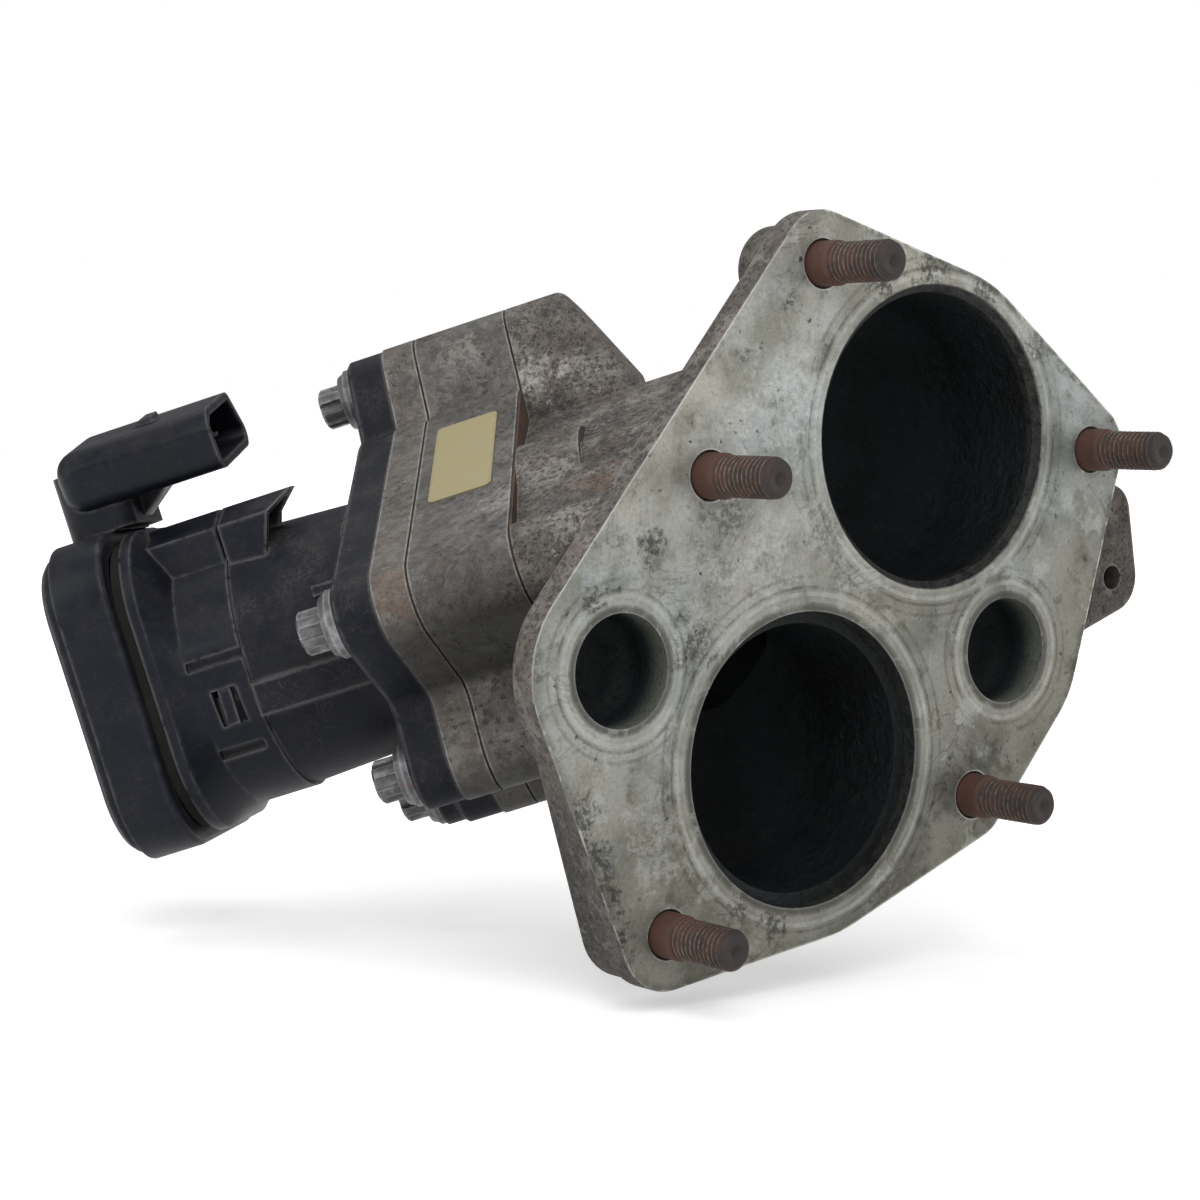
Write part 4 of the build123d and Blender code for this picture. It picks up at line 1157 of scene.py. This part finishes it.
@dataclass
class ValveTrain:
    """Seat, stem, disc, spring and lead screw."""

    spring_low: float = -21.9
    spring_high: float = -5.1
    spring_turns: float = 5.5
    wire_radius: float = 1.1
    stroke: float = 9.0

    def build(self, works: Paintwork) -> None:
        """Paint the moving pieces and grow the spring.

        Args:
            works: The finishes.
        """
        works.paint(MetalFinish("valve_steel", colour=(0.30, 0.28, 0.26), grime=0.5),
                    "seat_ring", "valve_stem", "valve_disc", "spring_retainer", "lead_screw",
                    "front_bearing", "rear_bearing")
        works.paint(MetalFinish("bush_bronze", colour=(0.42, 0.29, 0.13)), "stem_bush", "rotor_nut")
        works.paint(MetalFinish("magnet_grey", colour=(0.09, 0.09, 0.10), metallic=0.3, roughness=0.6),
                    "rotor_magnets", "sensor_magnet")
        steel = works.finish(MetalFinish("spring_steel", colour=(0.35, 0.35, 0.37), roughness=0.3))
        spring = grow(spring_tree(), "coil_return_spring", ACT, steel, Low=self.spring_low,
                      High=self.spring_high, Turns=self.spring_turns)
        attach(spring, BODY)
        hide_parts("return_spring")
        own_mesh(spring)


@dataclass
class Actuator:
    """Motor housing, band, cover, connector, motor and fasteners."""

    edge: float = 0.5

    def build(self, works: Paintwork) -> None:
        """Paint the actuator's pieces.

        Args:
            works: The finishes.
        """
        shells = ("end_housing", "end_cover", "connector_housing")
        works.paint(PlasticFinish("black_plastic_dusty", dust=0.6, wear=1.0, roughness=0.48), "motor_housing")
        works.paint(PlasticFinish("black_plastic"), *shells, "cover_lid")
        soften(self.edge, "motor_housing", *shells)
        works.paint(PlasticFinish("seal_rubber", colour=(0.008, 0.008, 0.008), dust=0.2, wear=0.0,
                                  roughness=0.7), "cover_seal", "actuator_seal")
        works.paint(MetalFinish("bolt_steel", colour=(0.235, 0.23, 0.235), stain=(0.016, 0.015, 0.016),
                                rust=0.30, grime=0.58, roughness=0.26),
                    "actuator_bolts", "tall_bolt", "bolt_washers", "compression_sleeves", "tall_sleeve")
        works.paint(MetalFinish("stator_steel", colour=(0.2, 0.2, 0.22), roughness=0.45), "stator_core")
        works.paint(MetalFinish("copper_wire", colour=(0.45, 0.18, 0.07)), "stator_coils")
        works.paint(MetalFinish("board_green", colour=(0.02, 0.12, 0.05), metallic=0.0, grime=0.3),
                    "circuit_board")
        works.paint(MetalFinish("contact_tin", colour=(0.6, 0.6, 0.6), grime=0.2), "connector_pins")


# ---- studio
@dataclass
class Studio:
    """Floor, lights, background and camera."""

    eye: Point = (-361.5, -407.7, 65.5)
    right: Point = (0.79601, -0.60514, 0.01332)
    up: Point = (0.02816, 0.05901, 0.99786)
    lens: float = 84.3
    floor_height: float = -46.0
    floor_reach: float = 6.0
    floor_colour: Colour = (0.75, 0.75, 0.75)
    glow: Pair = (0.45, 1.1)
    glow_range: Pair = (180.0, 700.0)
    aim: Point = (0.0, 0.05, 0.03)

    def build(self) -> None:
        """Make the camera, floor, lights and background."""
        self._camera()
        self._floor()
        self._lamp("key", (-0.75, -0.95, 1.05), 0.9, 13.0)
        self._lamp("fill", (0.9, -0.9, 0.5), 1.0, 5.0)
        self._lamp("left", (-1.1, 0.3, 0.5), 0.8, 5.0)
        self._lamp("top", (0.0, 0.4, 1.3), 1.2, 8.0)
        self._world()

    def _camera(self) -> None:
        """Place the camera."""
        lens = bpy.data.cameras.new("camera")
        lens.lens = self.lens
        lens.sensor_width = 36.0
        lens.sensor_fit = "HORIZONTAL"
        lens.clip_start = 0.01
        lens.clip_end = 50.0
        right, up = Vector(self.right), Vector(self.up)
        mat = Matrix((right, up, right.cross(up))).transposed().to_4x4()
        mat.translation = Vector(self.eye) * MM
        camera = link("camera", lens)
        camera.matrix_world = mat
        bpy.context.scene.camera = camera

    def _white(self) -> Material:
        """Pale material that looks white to the camera and keeps shadows."""
        material, desk = new_material("floor_white")
        cloud = desk.noise(desk.where, 0.01, 3.0, 0.5)
        plain = desk.add("ShaderNodeBsdfDiffuse",
                         Color=desk.mix(cloud, self.floor_colour, shade(self.floor_colour, 1.03)))
        away = desk.measure("LENGTH", desk.where).ramp(*self.glow_range)
        glow = desk.add("ShaderNodeEmission", Color=WHITE, Strength=desk.blend(away, *self.glow))
        dark = desk.add("ShaderNodeEmission", Strength=0.0)
        seen = desk.rays("Is Camera Ray", "Is Glossy Ray", "Is Transmission Ray")
        both = desk.add("ShaderNodeAddShader")
        desk.feed(both.inputs[0], plain.outputs[0])
        desk.feed(both.inputs[1], desk.choose(seen, dark, glow))
        desk.add("ShaderNodeOutputMaterial", Surface=both.outputs[0])
        return material

    def _floor(self) -> None:
        """Make the floor plane."""
        mesh = bpy.data.meshes.new("floor")
        reach, z = self.floor_reach, self.floor_height * MM
        corners = [(-reach, -reach, z), (reach, -reach, z), (reach, reach, z), (-reach, reach, z)]
        mesh.from_pydata(corners, [], [(0, 1, 2, 3)])
        mesh.materials.append(self._white())
        floor = link("floor", mesh)

    def _lamp(self, name: str, place: Point, size: float, power: float) -> None:
        """Place one square area lamp that looks at the object."""
        data = bpy.data.lights.new(name, "AREA")
        data.shape = "SQUARE"
        data.size = size
        data.energy = power
        lamp = link(name, data)
        lamp.location = place
        lamp.rotation_euler = (Vector(self.aim) - Vector(place)).to_track_quat("-Z", "Y").to_euler()

    def _world(self) -> None:
        """White background for the camera, soft grey light for the object."""
        world = bpy.data.worlds.new("studio")
        bpy.context.scene.world = world
        world.use_nodes = True
        world.node_tree.nodes.clear()
        desk = Desk(world.node_tree)
        soft = desk.add("ShaderNodeBackground", Strength=0.35, Color=WHITE)
        white = desk.add("ShaderNodeBackground", Strength=1.0, Color=WHITE)
        seen = desk.rays("Is Camera Ray", "Is Transmission Ray")
        desk.add("ShaderNodeOutputWorld", Surface=desk.choose(seen, soft, white))


def main() -> None:
    """Build the studio, the finishes and every sub-assembly."""
    logging.basicConfig(level=logging.INFO, format="%(name)s: %(message)s")
    scene = bpy.context.scene
    scene.view_settings.view_transform = "Standard"
    Studio().build()
    works = Paintwork()
    for part in (ValveBody(), ValveTrain(), Actuator()):
        part.build(works)
        LOG.info("finished %s", type(part).__name__)


if __name__ == "__main__":
    main()
